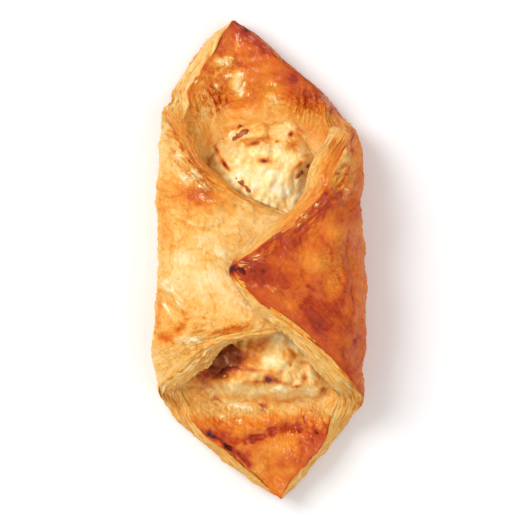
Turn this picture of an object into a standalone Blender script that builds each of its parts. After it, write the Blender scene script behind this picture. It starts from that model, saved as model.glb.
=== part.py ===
"""Ham and cheese pastry parcel, as solids at real size.

A square of laminated dough lies on one corner-to-corner line. Its west and then its east corner fold over a
log of cheese filling, and its north and south corners stay open as two pointed ends.
The dough is one closed solid. Its outer skin is named by the distance p along the wrap, from the middle of
the base: p grows eastwards, up the east side and back over the top, and it is negative round the west side.
Metres, +X east, +Y north, +Z up, with the origin under the middle of the parcel on the baking tray.
"""

import bpy
import numpy as np

MM = 0.001

# ---- Driving dimensions -------------------------------------------------------------------------------
HALF_LENGTH = 80 * MM
BASE_THICKNESS = 8 * MM
EAST_FLAP_THICKNESS = 8.2 * MM
WEST_FLAP_THICKNESS = 7.2 * MM
EAST_TIP_THICKNESS = 4.6 * MM
RIM_PUFF = 5 * MM  # how far the free edges of the two open corners rise over the base dough
RIM_REACH = 17 * MM

# Where the base dough has puffed up, as (x, y, height, half width along x, along y) in mm: the middles of the two
# open corners, and the fillets between the filling and the side walls.
FLOOR_PUFFS = (
    (-3, 61, 4.6, 17, 11), (4, -60, 5.2, 18, 11),
    (-23, 38, 6.5, 6.5, 12), (23.5, 38, 6.5, 6.5, 13), (-23, -42, 4.5, 6.5, 10), (25, -42, 4.5, 6.5, 10),
)
TIP_LIFT = 2.0 * MM  # how far the two points curl off the tray
CLEARANCE = 0.5 * MM  # between the dough, the filling and the ham
LAYER_RELIEF = 0.45 * MM  # how far the laminated layers stand out of the cut faces
BLISTER_RELIEF = 0.5 * MM
SWELL = 0.9 * MM  # slow unevenness of the whole parcel
ORIGIN_SHIFT = (-0.12934 * MM, 0.30306 * MM, 0)

# Outer skin round the wrap, as (outwards, up) in mm: base, side, shoulder, crown, free edge.
EAST_SKIN = (
    (0, 0), (12, 0), (22, 0), (28.5, 2.2), (33.3, 8), (35.2, 16), (34.2, 25),
    (29.5, 33), (21, 38.6), (11, 41.2), (1, 41.3), (-7, 39.2), (-13, 36.2),
)
WEST_SKIN = (
    (0, 0), (12, 0), (22, 0), (28.5, 2), (33, 7.2), (35, 14), (33.5, 21.5),
    (28.5, 27.3), (20, 30.8), (10, 32.3), (0, 32.6), (-10, 32.2), (-18, 31.4),
)

# Free edge of the outer skin, as (y, p) in mm from the south point to the north point.
EAST_EDGE = (
    (-80, 9.2), (-74, 14.4), (-67.3, 20), (-60.6, 26.2), (-57, 29.8), (-53.9, 33.6), (-47.5, 44), (-43.3, 53),
    (-39.2, 61.5), (-31.6, 72.2), (-21.5, 84.4), (-12.9, 93.8), (-5.5, 101.5), (-2.8, 103.8), (-0.5, 101.5),
    (2.8, 96.2), (7.8, 89.7), (12.9, 82.3), (17.2, 76.6), (22.9, 71), (29.6, 67.6), (36.2, 63),
    (41, 52), (45.2, 35.8), (47.2, 32.4), (49.4, 29), (52.9, 24.4), (59.6, 16.8), (66.3, 8.2), (73, 1.1), (80, -7),
)
WEST_EDGE = (
    (-80, -8), (-74, 2.2), (-67.3, 12.2), (-60.6, 20.6), (-53.9, 29), (-51, 32.2), (-48.6, 36), (-46, 41), (-43, 47),
    (-39.6, 54), (-34.9, 60.7), (-31.6, 65.2), (-28, 69.4), (-25.8, 75), (-24.2, 83), (-22, 94),
    (-12, 100), (-3, 103), (5, 101), (13, 97), (16.9, 89), (21, 80.2), (23.6, 76.6), (27.7, 70.7),
    (31.2, 66), (39.3, 61), (44.7, 56), (49, 44), (52.6, 34), (56, 30.6), (59.6, 27.2), (66.3, 22.3), (73, 17.1), (80, 9.8),
)

# How far the outer skin runs past the inner skin at the cut face, as (y, distance) in mm.
EAST_SLANT = ((-80, 1), (-70, 2.2), (-55, 2), (-46, 0), (-38, -5.5), (-12, -5.5), (-3, -1.5), (8, -6),
              (26, -6.5), (38, -3), (47, 0.5), (60, 1.6), (80, 1))
WEST_SLANT = ((-80, 1), (-68, 4.4), (-55, 4), (-47, 0), (-38, -6), (-28, -4.5), (-22, -2), (0, 0), (14, -1.5),
              (35, -1.5), (44, 0), (52, 4.5), (66, 5.2), (80, 1))

# Half width of the parcel against y, as shares of the skin's own bulge.
EAST_WIDTH = ((-80, 1), (-58, 1), (-50, 0.97), (-43, 1), (-20, 1), (0, 0.99), (20, 0.99), (34, 0.975), (39, 0.94),
              (43.4, 0.9), (46, 0.915), (52, 0.975), (57, 1), (80, 1))
WEST_WIDTH = ((-80, 1), (-56, 1), (-47, 0.965), (-40, 0.98), (-30, 1.005), (-14, 0.985), (4, 0.95), (24, 0.975),
              (38, 0.95), (45, 0.92), (48.6, 0.9), (52, 0.93), (58, 1), (80, 1))

# The sheet's own grid: rows from south to north, and points round each row.
ROWS = 60
SKIN_STEPS = (9, 7)  # steps of the outer skin on each side of the middle: up to the shoulder, and over the flap
INNER_STEPS = (7, 6)
CUT_POINTS = 8
SHOULDER = 48 * MM  # wrap distance up to which the rows keep the same points
FLAT_RUN = 20 * MM  # half of the base run, which takes fewer points a millimetre than the curved sides
FLAT_DENSITY = 0.42

# Filling: a log that runs from one opening to the other.
FILLING_SOUTH = -49 * MM
FILLING_NORTH = 46.5 * MM
FILLING_HALF_WIDTH = (23.6 * MM, 21.5 * MM)  # to the south and to the north
FILLING_CROWN = 13.5 * MM  # height over the base dough, where nothing presses on it
FILLING_ROWS = 46
FILLING_POINTS = 27
FILLING_HOLLOW = 0.35  # share of the crown that is missing under the west flap's south lip
CURD_RELIEF = 0.9 * MM
CORNER_ROOM = 1.1 * MM  # extra clearance where the filling meets the curve of the side walls
EDGE_ROOM = 2.5 * MM  # how far past the west flap's free edge the cheese stays pressed down

# Ham: name, middle (x, y), length, width, direction in degrees, curl of the strip in degrees.
HAM = (
    ("ham_north_west", (-4.5, 25.5), 11.5, 4.4, -40, 35),
    ("ham_north_east", (14.5, 29.5), 9.5, 3.6, 42, -30),
    ("ham_north_tip", (-6.5, 42.2), 6.5, 2.8, 38, 20),
    ("ham_south_west", (-12.5, -33.5), 14.0, 6.4, 28, 30),
    ("ham_south_east", (18.5, -38.5), 10.5, 3.8, 48, -70),
)
HAM_THICKNESS = 1.6 * MM
HAM_WAVE = 0.35 * MM
HAM_SINK = 0.6 * MM  # how far a strip lies in the cheese
HAM_ROWS = 11
HAM_ACROSS = 5

COLOURS = {
    "crust": ((0.72, 0.34, 0.09, 1), 0.32),
    "cheese_filling": ((0.90, 0.74, 0.42, 1), 0.38),
    "ham": ((0.62, 0.30, 0.20, 1), 0.40),
}


# ---- Helpers ------------------------------------------------------------------------------------------
def clear_scene():
    for item in list(bpy.data.objects):
        bpy.data.objects.remove(item, do_unlink=True)


def smooth(low, high, value):
    """0 below low, 1 above high, with a smooth step between them."""
    t = np.clip((value - low) / (high - low), 0, 1)
    return t * t * (3 - 2 * t)


def read_curve(knots, at):
    """A smooth curve through (position, value) knots in mm, read at positions in metres: cubic between
    knots, with each knot's slope the harmonic mean of its neighbours' slopes, so that it never overshoots."""
    x, y = np.array(knots, float).T
    run, rise = np.diff(x), np.diff(y)
    slope = rise / run
    same = slope[1:] * slope[:-1] > 0
    inner = np.where(same, 2 * slope[1:] * slope[:-1] / np.where(same, slope[1:] + slope[:-1], 1), 0)
    knot_slope = np.concatenate([slope[:1], inner, slope[-1:]])
    at = np.clip(np.asarray(at, float) / MM, x[0], x[-1])
    i = np.clip(np.searchsorted(x, at, side="right") - 1, 0, len(run) - 1)
    t = (at - x[i]) / run[i]
    return (
        (1 + 2 * t) * (1 - t) ** 2 * y[i]
        + t * (1 - t) ** 2 * run[i] * knot_slope[i]
        + t * t * (3 - 2 * t) * y[i + 1]
        + t * t * (t - 1) * run[i] * knot_slope[i + 1]
    )


def dense_line(points, steps=24):
    """A Catmull-Rom curve through points in mm: its arc length and its places, in metres."""
    inside = np.array(points, float) * MM
    ends = [2 * inside[:1] - inside[1:2], inside, 2 * inside[-1:] - inside[-2:-1]]
    p = np.vstack(ends)
    t = np.linspace(0, 1, steps, endpoint=False)[:, None]
    runs = [
        0.5 * (2 * b + (c - a) * t + (2 * a - 5 * b + 4 * c - d) * t**2 + (3 * b - a - 3 * c + d) * t**3)
        for a, b, c, d in zip(p, p[1:], p[2:], p[3:])
    ]
    line = np.vstack([*runs, inside[-1:]])
    return np.concatenate([[0], np.cumsum(np.hypot(*np.diff(line, axis=0).T))]), line


def waves(x, y, z, length, seed, count=9):
    """Smooth noise from about -1 to 1: a sum of plane waves in seeded directions, of about that wavelength."""
    random = np.random.default_rng(seed)
    total = 0
    for _ in range(count):
        way = random.normal(size=3)
        way *= 2 * np.pi / (length * random.uniform(0.7, 1.4) * np.linalg.norm(way))
        total = total + np.sin(way[0] * x + way[1] * y + way[2] * z + random.uniform(0, 2 * np.pi))
    return total / np.sqrt(count)


def swell(points):
    """Moves every point a little by its own place, more the higher it lies, so pieces keep their clearances."""
    x, y, z = np.moveaxis(points, -1, 0)
    share = SWELL * smooth(0, 14 * MM, z)
    moved = [
        x + share * waves(x, y, z, 48 * MM, 11),
        y + share * waves(x, y, z, 48 * MM, 12),
        z + share * waves(x, y, z, 42 * MM, 13),
    ]
    return np.stack(moved, axis=-1)


def stand(points):
    """The swollen shape, moved so that the origin lies under the middle of its bounding box."""
    return swell(points) + np.array(ORIGIN_SHIFT)


# ---- The dough sheet ----------------------------------------------------------------------------------
EAST_LENGTH, EAST_LINE = dense_line(EAST_SKIN)
WEST_LENGTH, WEST_LINE = dense_line(WEST_SKIN)


def skin_place(p, y):
    """(x, z) of the outer skin at wrap distance p, on the row at y."""
    east = [np.interp(p, EAST_LENGTH, EAST_LINE[:, k]) for k in (0, 1)]
    west = [np.interp(-p, WEST_LENGTH, WEST_LINE[:, k]) for k in (0, 1)]
    x = np.where(p > 0, east[0] * read_curve(EAST_WIDTH, y), -west[0] * read_curve(WEST_WIDTH, y))
    z = np.where(p > 0, east[1], west[1])
    on_top = smooth(14 * MM, 26 * MM, z)
    z = z - on_top * 2.4 * MM * smooth(12 * MM, 48 * MM, np.abs(y))  # the flaps fall towards the openings
    # The west flap sags into the north opening, and its south lip stands off the filling.
    over_west = smooth(-60 * MM, -74 * MM, p)
    z = z - over_west * 4.5 * MM * np.exp(-(((x - 1 * MM) / (15 * MM)) ** 2 + ((y - 17 * MM) / (12 * MM)) ** 2))
    z = z + over_west * 1.2 * MM * np.exp(-(((x + 9 * MM) / (14 * MM)) ** 2 + ((y + 30 * MM) / (9 * MM)) ** 2))
    # The east flap's north edge sinks after it.
    over_east = smooth(62 * MM, 80 * MM, p)
    z = z - over_east * 2.6 * MM * np.exp(-(((x - 6 * MM) / (13 * MM)) ** 2 + ((y - 16 * MM) / (11 * MM)) ** 2))
    return x, np.maximum(z, 0) + TIP_LIFT * smooth(56 * MM, 84 * MM, np.abs(y))


def skin_frame(p, y):
    """Place, unit tangent in the sense of growing p, and inward unit normal, each as (x, z)."""
    step = 2 * MM
    x, z = skin_place(p, y)
    ahead, behind = skin_place(p + step, y), skin_place(p - step, y)
    run, rise = ahead[0] - behind[0], ahead[1] - behind[1]
    size = np.hypot(run, rise)
    size = np.where(size > 0, size, 1)
    tangent = (run / size, rise / size)
    return (x, z), tangent, (-tangent[1], tangent[0])


def edges(y):
    """Wrap distance of the west edge (negative) and of the east edge on the row at y."""
    return -read_curve(WEST_EDGE, y) * MM, read_curve(EAST_EDGE, y) * MM


def thickness(p, y):
    """Thickness of the baked dough, less at the open points and at the tip of the east flap."""
    flap = np.where(p > 0, EAST_FLAP_THICKNESS, WEST_FLAP_THICKNESS)
    thick = BASE_THICKNESS + (flap - BASE_THICKNESS) * smooth(40 * MM, 60 * MM, np.abs(p))
    thick = thick + (EAST_TIP_THICKNESS - EAST_FLAP_THICKNESS) * smooth(82 * MM, 104 * MM, p)
    return thick - 2.5 * MM * smooth(66 * MM, HALF_LENGTH, np.abs(y))


def puff_rise(x, z, p, y):
    """How far the inner skin at (x, z) is lifted straight up, by the rims and the puffed parts of the base. The
    lift of the base fades with height, up the side walls."""
    west, east = edges(y)
    near = np.minimum(east - p, p - west) * 0.66
    corner = smooth(38 * MM, 54 * MM, np.abs(y)) * smooth(50 * MM, 30 * MM, np.abs(p))
    rise = RIM_PUFF * corner * (1 - smooth(0, RIM_REACH, near)) ** 1.3
    for middle_x, middle_y, height, wide, long in FLOOR_PUFFS:
        away = ((x / MM - middle_x) / wide) ** 2 + ((y / MM - middle_y) / long) ** 2
        rise = rise + height * MM * np.exp(-away) * smooth(26 * MM, 8 * MM, z)
    return rise


def spread(p):
    """Wrap distance with the flat base run shortened, so that even steps crowd the curved sides."""
    flat = np.minimum(np.abs(p), FLAT_RUN)
    return np.sign(p) * (flat * FLAT_DENSITY + np.abs(p) - flat)


def unspread(r):
    flat = np.minimum(np.abs(r), FLAT_RUN * FLAT_DENSITY)
    return np.sign(r) * (flat / FLAT_DENSITY + np.abs(r) - flat)


def half_run(edge, steps):
    """Wrap distances from the middle of the base out to an edge. Where the flap is long enough, the points up
    to the shoulder are the same on every row, so that the side walls stay smooth."""
    to_shoulder, over_flap = steps
    shoulder = np.minimum(SHOULDER, 0.75 * edge)
    low = unspread(spread(shoulder) * np.linspace(0, 1, to_shoulder + 1))
    return np.concatenate([low, shoulder + (edge - shoulder) * np.linspace(0, 1, over_flap + 1)[1:]], axis=1)


def full_run(west, east, steps):
    """Wrap distances from the west edge to the east edge on each row, through a middle that stays between them."""
    middle = np.clip(0, west + 0.25 * (east - west), east - 0.25 * (east - west))
    return np.concatenate([middle - half_run(middle - west, steps)[:, :0:-1], middle + half_run(east - middle, steps)], axis=1)


def row_places(count):
    """Rows from the south point to the north point, closer together where the free edges run across them."""
    y = np.linspace(-HALF_LENGTH, HALF_LENGTH, 1601)
    west, east = edges(y)
    density = 0.6 + 0.25 * np.abs(np.gradient(west, y)) + 0.25 * np.abs(np.gradient(east, y))
    density = np.convolve(np.pad(density, 40, mode="edge"), np.ones(81) / 81, mode="valid")
    passed = np.concatenate([[0], np.cumsum((density[1:] + density[:-1]) / 2)])
    return np.interp(np.linspace(0, passed[-1], count), passed, y)


def blisters(points, visible):
    """How far the skin bubbles out at each point, faded where another piece lies against it."""
    x, y, z = np.moveaxis(points, -1, 0)
    bumps = waves(x, y, z, 15 * MM, 21)
    return BLISTER_RELIEF * visible * bumps * smooth(1 * MM, 7 * MM, z)


def layer_relief(share, y, seed):
    """Ridges and grooves of the laminated layers, across a cut face from the outer skin to the inner one."""
    phase = 1.2 * waves(y, 0, share * 3 * MM, 24 * MM, seed)
    teeth = np.abs((share * 3.0 + 0.25 * phase) % 1 * 2 - 1)
    return LAYER_RELIEF * (2 * teeth - 1)


def inner_place(p, y):
    """Points of the inner skin."""
    (x, z), _, normal = skin_frame(p, y)
    thick = thickness(p, y)
    x, z = x + normal[0] * thick, z + normal[1] * thick
    return np.stack([x, y + 0 * p, z + puff_rise(x, z, p, y)], axis=-1)


def outer_place(p, y):
    (x, z), _, _ = skin_frame(p, y)
    return np.stack([x, y + 0 * p, z], axis=-1)


def cut_face(y, edge, inner_edge, curve, side, seed):
    """Points across one cut face, from the outer skin to the inner skin, with the layers standing out."""
    share = np.linspace(0, 1, CUT_POINTS + 2)[None, 1:-1]
    start, end = outer_place(edge, y), inner_place(inner_edge, y)
    _, tangent, _ = skin_frame(edge, y)
    step = 0.5 * MM
    slope = (read_curve(curve, y + step) - read_curve(curve, y - step)) * MM / (2 * step)
    size = np.hypot(1, slope)
    outward = np.stack([side * tangent[0] / size, -slope / size, side * tangent[1] / size], axis=-1)
    bulge = 1.1 * MM * 4 * share * (1 - share) + layer_relief(share, y, seed)
    ends_taper = smooth(0, 5 * MM, HALF_LENGTH - np.abs(y))
    return start + (end - start) * share[..., None] + outward * (bulge * ends_taper)[..., None]


def dough_rows():
    """The closed loop of points round the sheet, row by row from the south point to the north point."""
    y = row_places(ROWS)[:, None]
    west, east = edges(y)
    width = east - west
    most = 0.3 * width
    east_inner = east - np.clip(read_curve(EAST_SLANT, y) * MM, -most, most)
    west_inner = west + np.clip(read_curve(WEST_SLANT, y) * MM, -most, most)
    skin_p = full_run(west, east, SKIN_STEPS)
    inner_p = full_run(west_inner, east_inner, INNER_STEPS)[:, ::-1]
    skin, inner = outer_place(skin_p, y), inner_place(inner_p, y)

    hidden = smooth(-62 * MM, -70 * MM, skin_p) * smooth(20 * MM, 8 * MM, np.abs(y))
    _, _, normal = skin_frame(skin_p, y)
    bump = blisters(skin, 1 - hidden)
    skin[..., 0] -= normal[0] * bump
    skin[..., 2] -= normal[1] * bump
    inner[..., 2] += blisters(inner, smooth(49 * MM, 56 * MM, np.abs(y)) + 0 * inner_p)

    east_cut = cut_face(y, east, east_inner, EAST_EDGE, 1, 31)
    west_cut = cut_face(y, west, west_inner, WEST_EDGE, -1, 32)[:, ::-1]
    return stand(np.concatenate([skin, east_cut, inner, west_cut], axis=1))


# ---- Filling and ham ----------------------------------------------------------------------------------
def floor_height(x, y):
    """Height of the inner skin of the base under points (x, y), with each row's skin read across."""
    p = np.linspace(-34 * MM, 34 * MM, 69)
    row = inner_place(p[None, :], y[:, None])
    return np.stack([np.interp(at, line[:, 0], line[:, 2]) for at, line in zip(x, row)])


def roof_height(x, y):
    """Height of the underside of the west flap over points (x, y), rising steeply past its free edge."""
    roof = []
    for at, row_y in zip(x, y):
        west, _ = edges(row_y)
        end = west + float(read_curve(WEST_SLANT, row_y)) * MM
        p = np.linspace(min(end, -50 * MM), -46 * MM, 60)
        line = inner_place(p, np.full_like(p, row_y))
        order = np.argsort(line[:, 0])
        past = np.maximum(at - line[:, 0].max() - EDGE_ROOM, 0)
        roof.append(np.interp(at, line[order, 0], line[order, 2]) + 1.2 * past)
    return np.stack(roof)


def filling_plan(y):
    """Middle and half width of the filling on the row at y."""
    south, north = FILLING_HALF_WIDTH
    share = np.where(y > 0, y / FILLING_NORTH, y / FILLING_SOUTH)
    round_end = np.where(
        y > 0,
        south + (north - south) * smooth(0, 30 * MM, y),
        south,
    ) * np.where(
        y > 0,
        (1 - np.clip(share, 0, 1) ** 3.4) ** 0.46,
        (1 - np.clip(share, 0, 1) ** 8) ** 0.42,
    )
    middle = np.where(y > 0, 1.2 * MM * smooth(0, 30 * MM, y), 2.2 * MM * smooth(20 * MM, 46 * MM, -y))
    return middle + 0.7 * MM * waves(0, y, 0, 9 * MM, 51), round_end * (1 + 0.035 * waves(0, y, 0, 11 * MM, 52))


def filling_top(x, y):
    """Height of the cheese over points (x, y): a low crown with curds, held down under the west flap."""
    middle, half = filling_plan(y)
    across = (x - middle[:, None]) / np.maximum(half[:, None], 1e-6)
    along = np.where(y > 0, y / FILLING_NORTH, y / FILLING_SOUTH)[:, None]
    crown = FILLING_CROWN * (1 - np.clip(np.abs(along), 0, 1) ** 3.6) ** 0.85
    crown = crown * (1 - np.clip(np.abs(across), 0, 1) ** 2.8) ** 0.7
    hollow = ((x + 11 * MM) / (9 * MM)) ** 2 + ((y[:, None] + 29 * MM) / (6.5 * MM)) ** 2
    crown = crown * (1 - FILLING_HOLLOW * np.exp(-hollow))
    edge = np.linspace(-1, 1, 2)
    margin = floor_height(middle[:, None] + half[:, None] * edge, y) + CLEARANCE
    base = margin[:, :1] + (margin[:, 1:] - margin[:, :1]) * (across + 1) / 2
    curds = np.abs(waves(x, y[:, None], 0, 11 * MM, 41)) * CURD_RELIEF * np.minimum(1, crown / (5 * MM))
    return np.minimum(base + crown + curds, roof_height(x, y) - CLEARANCE)


def ham_frame(middle, heading):
    angle = np.radians(heading)
    along = np.array([np.cos(angle), np.sin(angle)])
    return np.array(middle) * MM, along, np.array([along[1], -along[0]])


def ham_pockets(x, y):
    """How far the cheese sinks under the strips of ham at points (x, y)."""
    depth = np.zeros(x.shape)
    for _, middle, length, width, heading, _ in HAM:
        centre, along, aside = ham_frame(middle, heading)
        u = (x - centre[0]) * along[0] + (y - centre[1]) * along[1]
        v = (x - centre[0]) * aside[0] + (y - centre[1]) * aside[1]
        outside = np.hypot(
            np.maximum(np.abs(u) - length / 2 * MM, 0),
            np.maximum(np.abs(v) - width / 2 * MM, 0),
        )
        depth = np.maximum(depth, smooth(5.2 * MM, 2.4 * MM, outside))
    return depth * (HAM_SINK + CLEARANCE + HAM_WAVE)


def filling_rows():
    """The closed loop round the filling: along the base dough from west to east, and back over the cheese."""
    turn = np.linspace(0, np.pi, FILLING_ROWS)
    y = FILLING_SOUTH + (FILLING_NORTH - FILLING_SOUTH) * (1 - np.cos(turn)) / 2
    middle, half = filling_plan(y)
    half = np.maximum(half, 1.2 * MM)
    q = np.sin(np.linspace(-np.pi / 2, np.pi / 2, FILLING_POINTS))
    x = middle[:, None] + half[:, None] * q
    low = floor_height(x, y) + CLEARANCE + CORNER_ROOM * smooth(5 * MM, 12 * MM, np.abs(x))
    high = np.maximum(filling_top(x, y) - ham_pockets(x, y[:, None]), low + 0.6 * MM)
    bottom = np.stack([x, y[:, None] + 0 * x, low], axis=-1)[:, ::2]
    top = np.stack([x, y[:, None] + 0 * x, high], axis=-1)[:, ::-1]
    return stand(np.concatenate([bottom, top], axis=1))


def ham_rows(middle, length, width, heading, curl):
    """The closed loop round a thin wavy strip that follows the cheese, row by row along its length."""
    centre, along, aside = ham_frame(middle, heading)
    share = np.linspace(-1, 1, HAM_ROWS)[:, None]
    bend = np.radians(curl) / 2
    run = np.sin(share * bend) / bend * length / 2 * MM
    lean = (1 - np.cos(share * bend)) / bend * length / 2 * MM
    v = np.linspace(-1, 1, HAM_ACROSS)[None, :]
    side = width / 2 * MM * (1 - 0.55 * np.abs(share) ** 3) * v + lean
    x = centre[0] + run * along[0] + side * aside[0]
    y = centre[1] + run * along[1] + side * aside[1]
    cheese = filling_top(x.reshape(-1, 1), y.reshape(-1)).reshape(x.shape)
    wave = HAM_WAVE * (0.6 * np.sin(run / (1.7 * MM) + middle[0]) + 0.4 * v * np.cos(run / (1.3 * MM)))
    under = cheese - HAM_SINK + wave + HAM_THICKNESS * 0.25 * v**4
    over = cheese - HAM_SINK + wave + HAM_THICKNESS * (1 - 0.45 * v**4)
    faces = [np.stack([x, y, under], axis=-1), np.stack([x, y, over], axis=-1)[:, ::-1]]
    return stand(np.concatenate(faces, axis=1))


# ---- Meshes -------------------------------------------------------------------------------------------
def closed_object(name, rows, colour):
    """A closed skin over rows of closed loops, with a fan on each end loop."""
    count, points = rows.shape[:2]
    ring = np.arange(points)
    after = (ring + 1) % points
    faces = []
    for i in range(count - 1):
        low, high = i * points, (i + 1) * points
        faces += np.stack([low + ring, high + ring, high + after, low + after], axis=1).tolist()
    vertices = rows.reshape(-1, 3).tolist()
    first, last = len(vertices), len(vertices) + 1
    vertices += [rows[0].mean(axis=0).tolist(), rows[-1].mean(axis=0).tolist()]
    faces += np.stack([ring, after, np.full(points, first)], axis=1).tolist()
    top = (count - 1) * points
    faces += np.stack([top + after, top + ring, np.full(points, last)], axis=1).tolist()
    mesh = bpy.data.meshes.new(name)
    mesh.from_pydata(vertices, [], faces)
    mesh.validate()
    made = bpy.data.objects.new(name, mesh)
    bpy.context.scene.collection.objects.link(made)
    mesh.shade_smooth()
    mesh.materials.append(material(colour))
    return made


def material(name):
    if name in bpy.data.materials:
        return bpy.data.materials[name]
    made = bpy.data.materials.new(name)
    made.use_nodes = True
    shader = made.node_tree.nodes["Principled BSDF"]
    colour, roughness = COLOURS[name]
    shader.inputs["Base Color"].default_value = colour
    shader.inputs["Roughness"].default_value = roughness
    shader.inputs["Metallic"].default_value = 0
    return made


def main():
    clear_scene()
    closed_object("pastry", dough_rows(), "crust")
    closed_object("cheese_filling", filling_rows(), "cheese_filling")
    for name, middle, length, width, heading, curl in HAM:
        closed_object(name, ham_rows(middle, length, width, heading, curl), "ham")


main()
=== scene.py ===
"""Ham and cheese pastry parcel: the looks.

The dough is a wrapped sheet. Its outer skin is named by the distance p round the wrap, from the middle of the
base: p grows eastwards, up the east side and back over the top, and is negative round the west side.
Metres, +X east, +Y north, +Z up, with the origin under the middle of the parcel.
"""

import bpy
import numpy as np
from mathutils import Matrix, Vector


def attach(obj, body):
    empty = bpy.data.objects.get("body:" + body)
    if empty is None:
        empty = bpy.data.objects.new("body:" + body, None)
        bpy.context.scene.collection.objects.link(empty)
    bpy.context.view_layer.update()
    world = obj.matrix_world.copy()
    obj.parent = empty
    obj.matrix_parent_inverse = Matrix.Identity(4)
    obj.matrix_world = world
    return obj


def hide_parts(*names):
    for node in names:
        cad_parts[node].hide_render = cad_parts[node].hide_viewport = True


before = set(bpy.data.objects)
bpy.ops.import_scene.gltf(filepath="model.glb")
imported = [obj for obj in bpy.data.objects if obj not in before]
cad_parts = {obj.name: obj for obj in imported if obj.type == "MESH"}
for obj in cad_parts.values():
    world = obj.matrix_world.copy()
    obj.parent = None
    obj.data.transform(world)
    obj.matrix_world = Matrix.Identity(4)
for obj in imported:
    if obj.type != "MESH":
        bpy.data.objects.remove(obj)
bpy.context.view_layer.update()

bl_info = {
    "name": "Ham and cheese pastry parcel",
    "version": (1, 0, 0),
    "blender": (4, 5, 0),
    "location": "View3D > Sidebar > Pastry",
    "description": "Dresses a folded puff pastry parcel with its crust, layers, cheese and ham",
    "category": "Mesh",
}

MM = 0.001

# ---- The wrapped sheet, as the solids have it ---------------------------------------------------------
HALF_LENGTH = 80 * MM
BASE_THICKNESS = 8 * MM
EAST_FLAP_THICKNESS = 8.2 * MM
WEST_FLAP_THICKNESS = 7.2 * MM
EAST_TIP_THICKNESS = 4.6 * MM
RIM_PUFF = 5 * MM
RIM_REACH = 17 * MM
FLOOR_PUFFS = (
    (-3, 61, 4.6, 17, 11), (4, -60, 5.2, 18, 11),
    (-23, 38, 6.5, 6.5, 12), (23.5, 38, 6.5, 6.5, 13), (-23, -42, 4.5, 6.5, 10), (25, -42, 4.5, 6.5, 10),
)
TIP_LIFT = 2 * MM
CLEARANCE = 0.5 * MM
FLAP_FALL = 2.4 * MM  # how far the flaps fall towards the openings
# Where a flap sinks, or stands off where the depth is negative, as (x, y, half x, half y, depth) in mm.
WEST_FLAP_SAGS = ((1, 17, 15, 12, 4.5), (-9, -30, 14, 9, -1.2))
EAST_FLAP_SAGS = ((6, 16, 13, 11, 2.6),)
BLISTER_RELIEF = 0.5 * MM
SWELL = 0.9 * MM
ORIGIN_SHIFT = (-0.12934 * MM, 0.30306 * MM, 0)
EAST_SKIN = (
    (0, 0), (12, 0), (22, 0), (28.5, 2.2), (33.3, 8), (35.2, 16), (34.2, 25),
    (29.5, 33), (21, 38.6), (11, 41.2), (1, 41.3), (-7, 39.2), (-13, 36.2),
)
WEST_SKIN = (
    (0, 0), (12, 0), (22, 0), (28.5, 2), (33, 7.2), (35, 14), (33.5, 21.5),
    (28.5, 27.3), (20, 30.8), (10, 32.3), (0, 32.6), (-10, 32.2), (-18, 31.4),
)
# Free edge of the outer skin, as (y, p) in mm from the south point to the north point.
EAST_EDGE = (
    (-80, 9.2), (-74, 14.4), (-67.3, 20), (-60.6, 26.2), (-57, 29.8), (-53.9, 33.6), (-47.5, 44),
    (-43.3, 53), (-39.2, 61.5), (-31.6, 72.2), (-21.5, 84.4), (-12.9, 93.8), (-5.5, 101.5), (-2.8, 103.8),
    (-0.5, 101.5), (2.8, 96.2), (7.8, 89.7), (12.9, 82.3), (17.2, 76.6), (22.9, 71), (29.6, 67.6),
    (36.2, 63), (41, 52), (45.2, 35.8), (47.2, 32.4), (49.4, 29), (52.9, 24.4), (59.6, 16.8), (66.3, 8.2),
    (73, 1.1), (80, -7),
)
WEST_EDGE = (
    (-80, -8), (-74, 2.2), (-67.3, 12.2), (-60.6, 20.6), (-53.9, 29), (-51, 32.2), (-48.6, 36), (-46, 41),
    (-43, 47), (-39.6, 54), (-34.9, 60.7), (-31.6, 65.2), (-28, 69.4), (-25.8, 75), (-24.2, 83),
    (-22, 94), (-12, 100), (-3, 103), (5, 101), (13, 97), (16.9, 89), (21, 80.2), (23.6, 76.6),
    (27.7, 70.7), (31.2, 66), (39.3, 61), (44.7, 56), (49, 44), (52.6, 34), (56, 30.6), (59.6, 27.2),
    (66.3, 22.3), (73, 17.1), (80, 9.8),
)

# How far the outer skin runs past the inner skin at the cut face, as (y, distance) in mm.
EAST_SLANT = (
    (-80, 1), (-70, 2.2), (-55, 2), (-46, 0), (-38, -5.5), (-12, -5.5), (-3, -1.5), (8, -6), (26, -6.5),
    (38, -3), (47, 0.5), (60, 1.6), (80, 1),
)
WEST_SLANT = (
    (-80, 1), (-68, 4.4), (-55, 4), (-47, 0), (-38, -6), (-28, -4.5), (-22, -2), (0, 0), (14, -1.5),
    (35, -1.5), (44, 0), (52, 4.5), (66, 5.2), (80, 1),
)

# Half width of the parcel against y, as shares of the skin's own bulge.
EAST_WIDTH = (
    (-80, 1), (-58, 1), (-50, 0.97), (-43, 1), (-20, 1), (0, 0.99), (20, 0.99), (34, 0.975), (39, 0.94),
    (43.4, 0.9), (46, 0.915), (52, 0.975), (57, 1), (80, 1),
)
WEST_WIDTH = (
    (-80, 1), (-56, 1), (-47, 0.965), (-40, 0.98), (-30, 1.005), (-14, 0.985), (4, 0.95), (24, 0.975),
    (38, 0.95), (45, 0.92), (48.6, 0.9), (52, 0.93), (58, 1), (80, 1),
)


# What the crust's material reads at each point.
CRUST_FIELDS = ("bake", "share", "cut", "wet", "crease", "across", "along")

# The sheet's own grid: rows from south to north, and points round each row.
ROWS = 288
SKIN_STEPS = (34, 58)  # steps on each side of the middle: up to the shoulder, and over the flap
INNER_STEPS = (24, 24)
CUT_POINTS = 26
LEAF_ROWS = 420
LEAF_RING = 10
SHOULDER = 48 * MM
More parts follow.
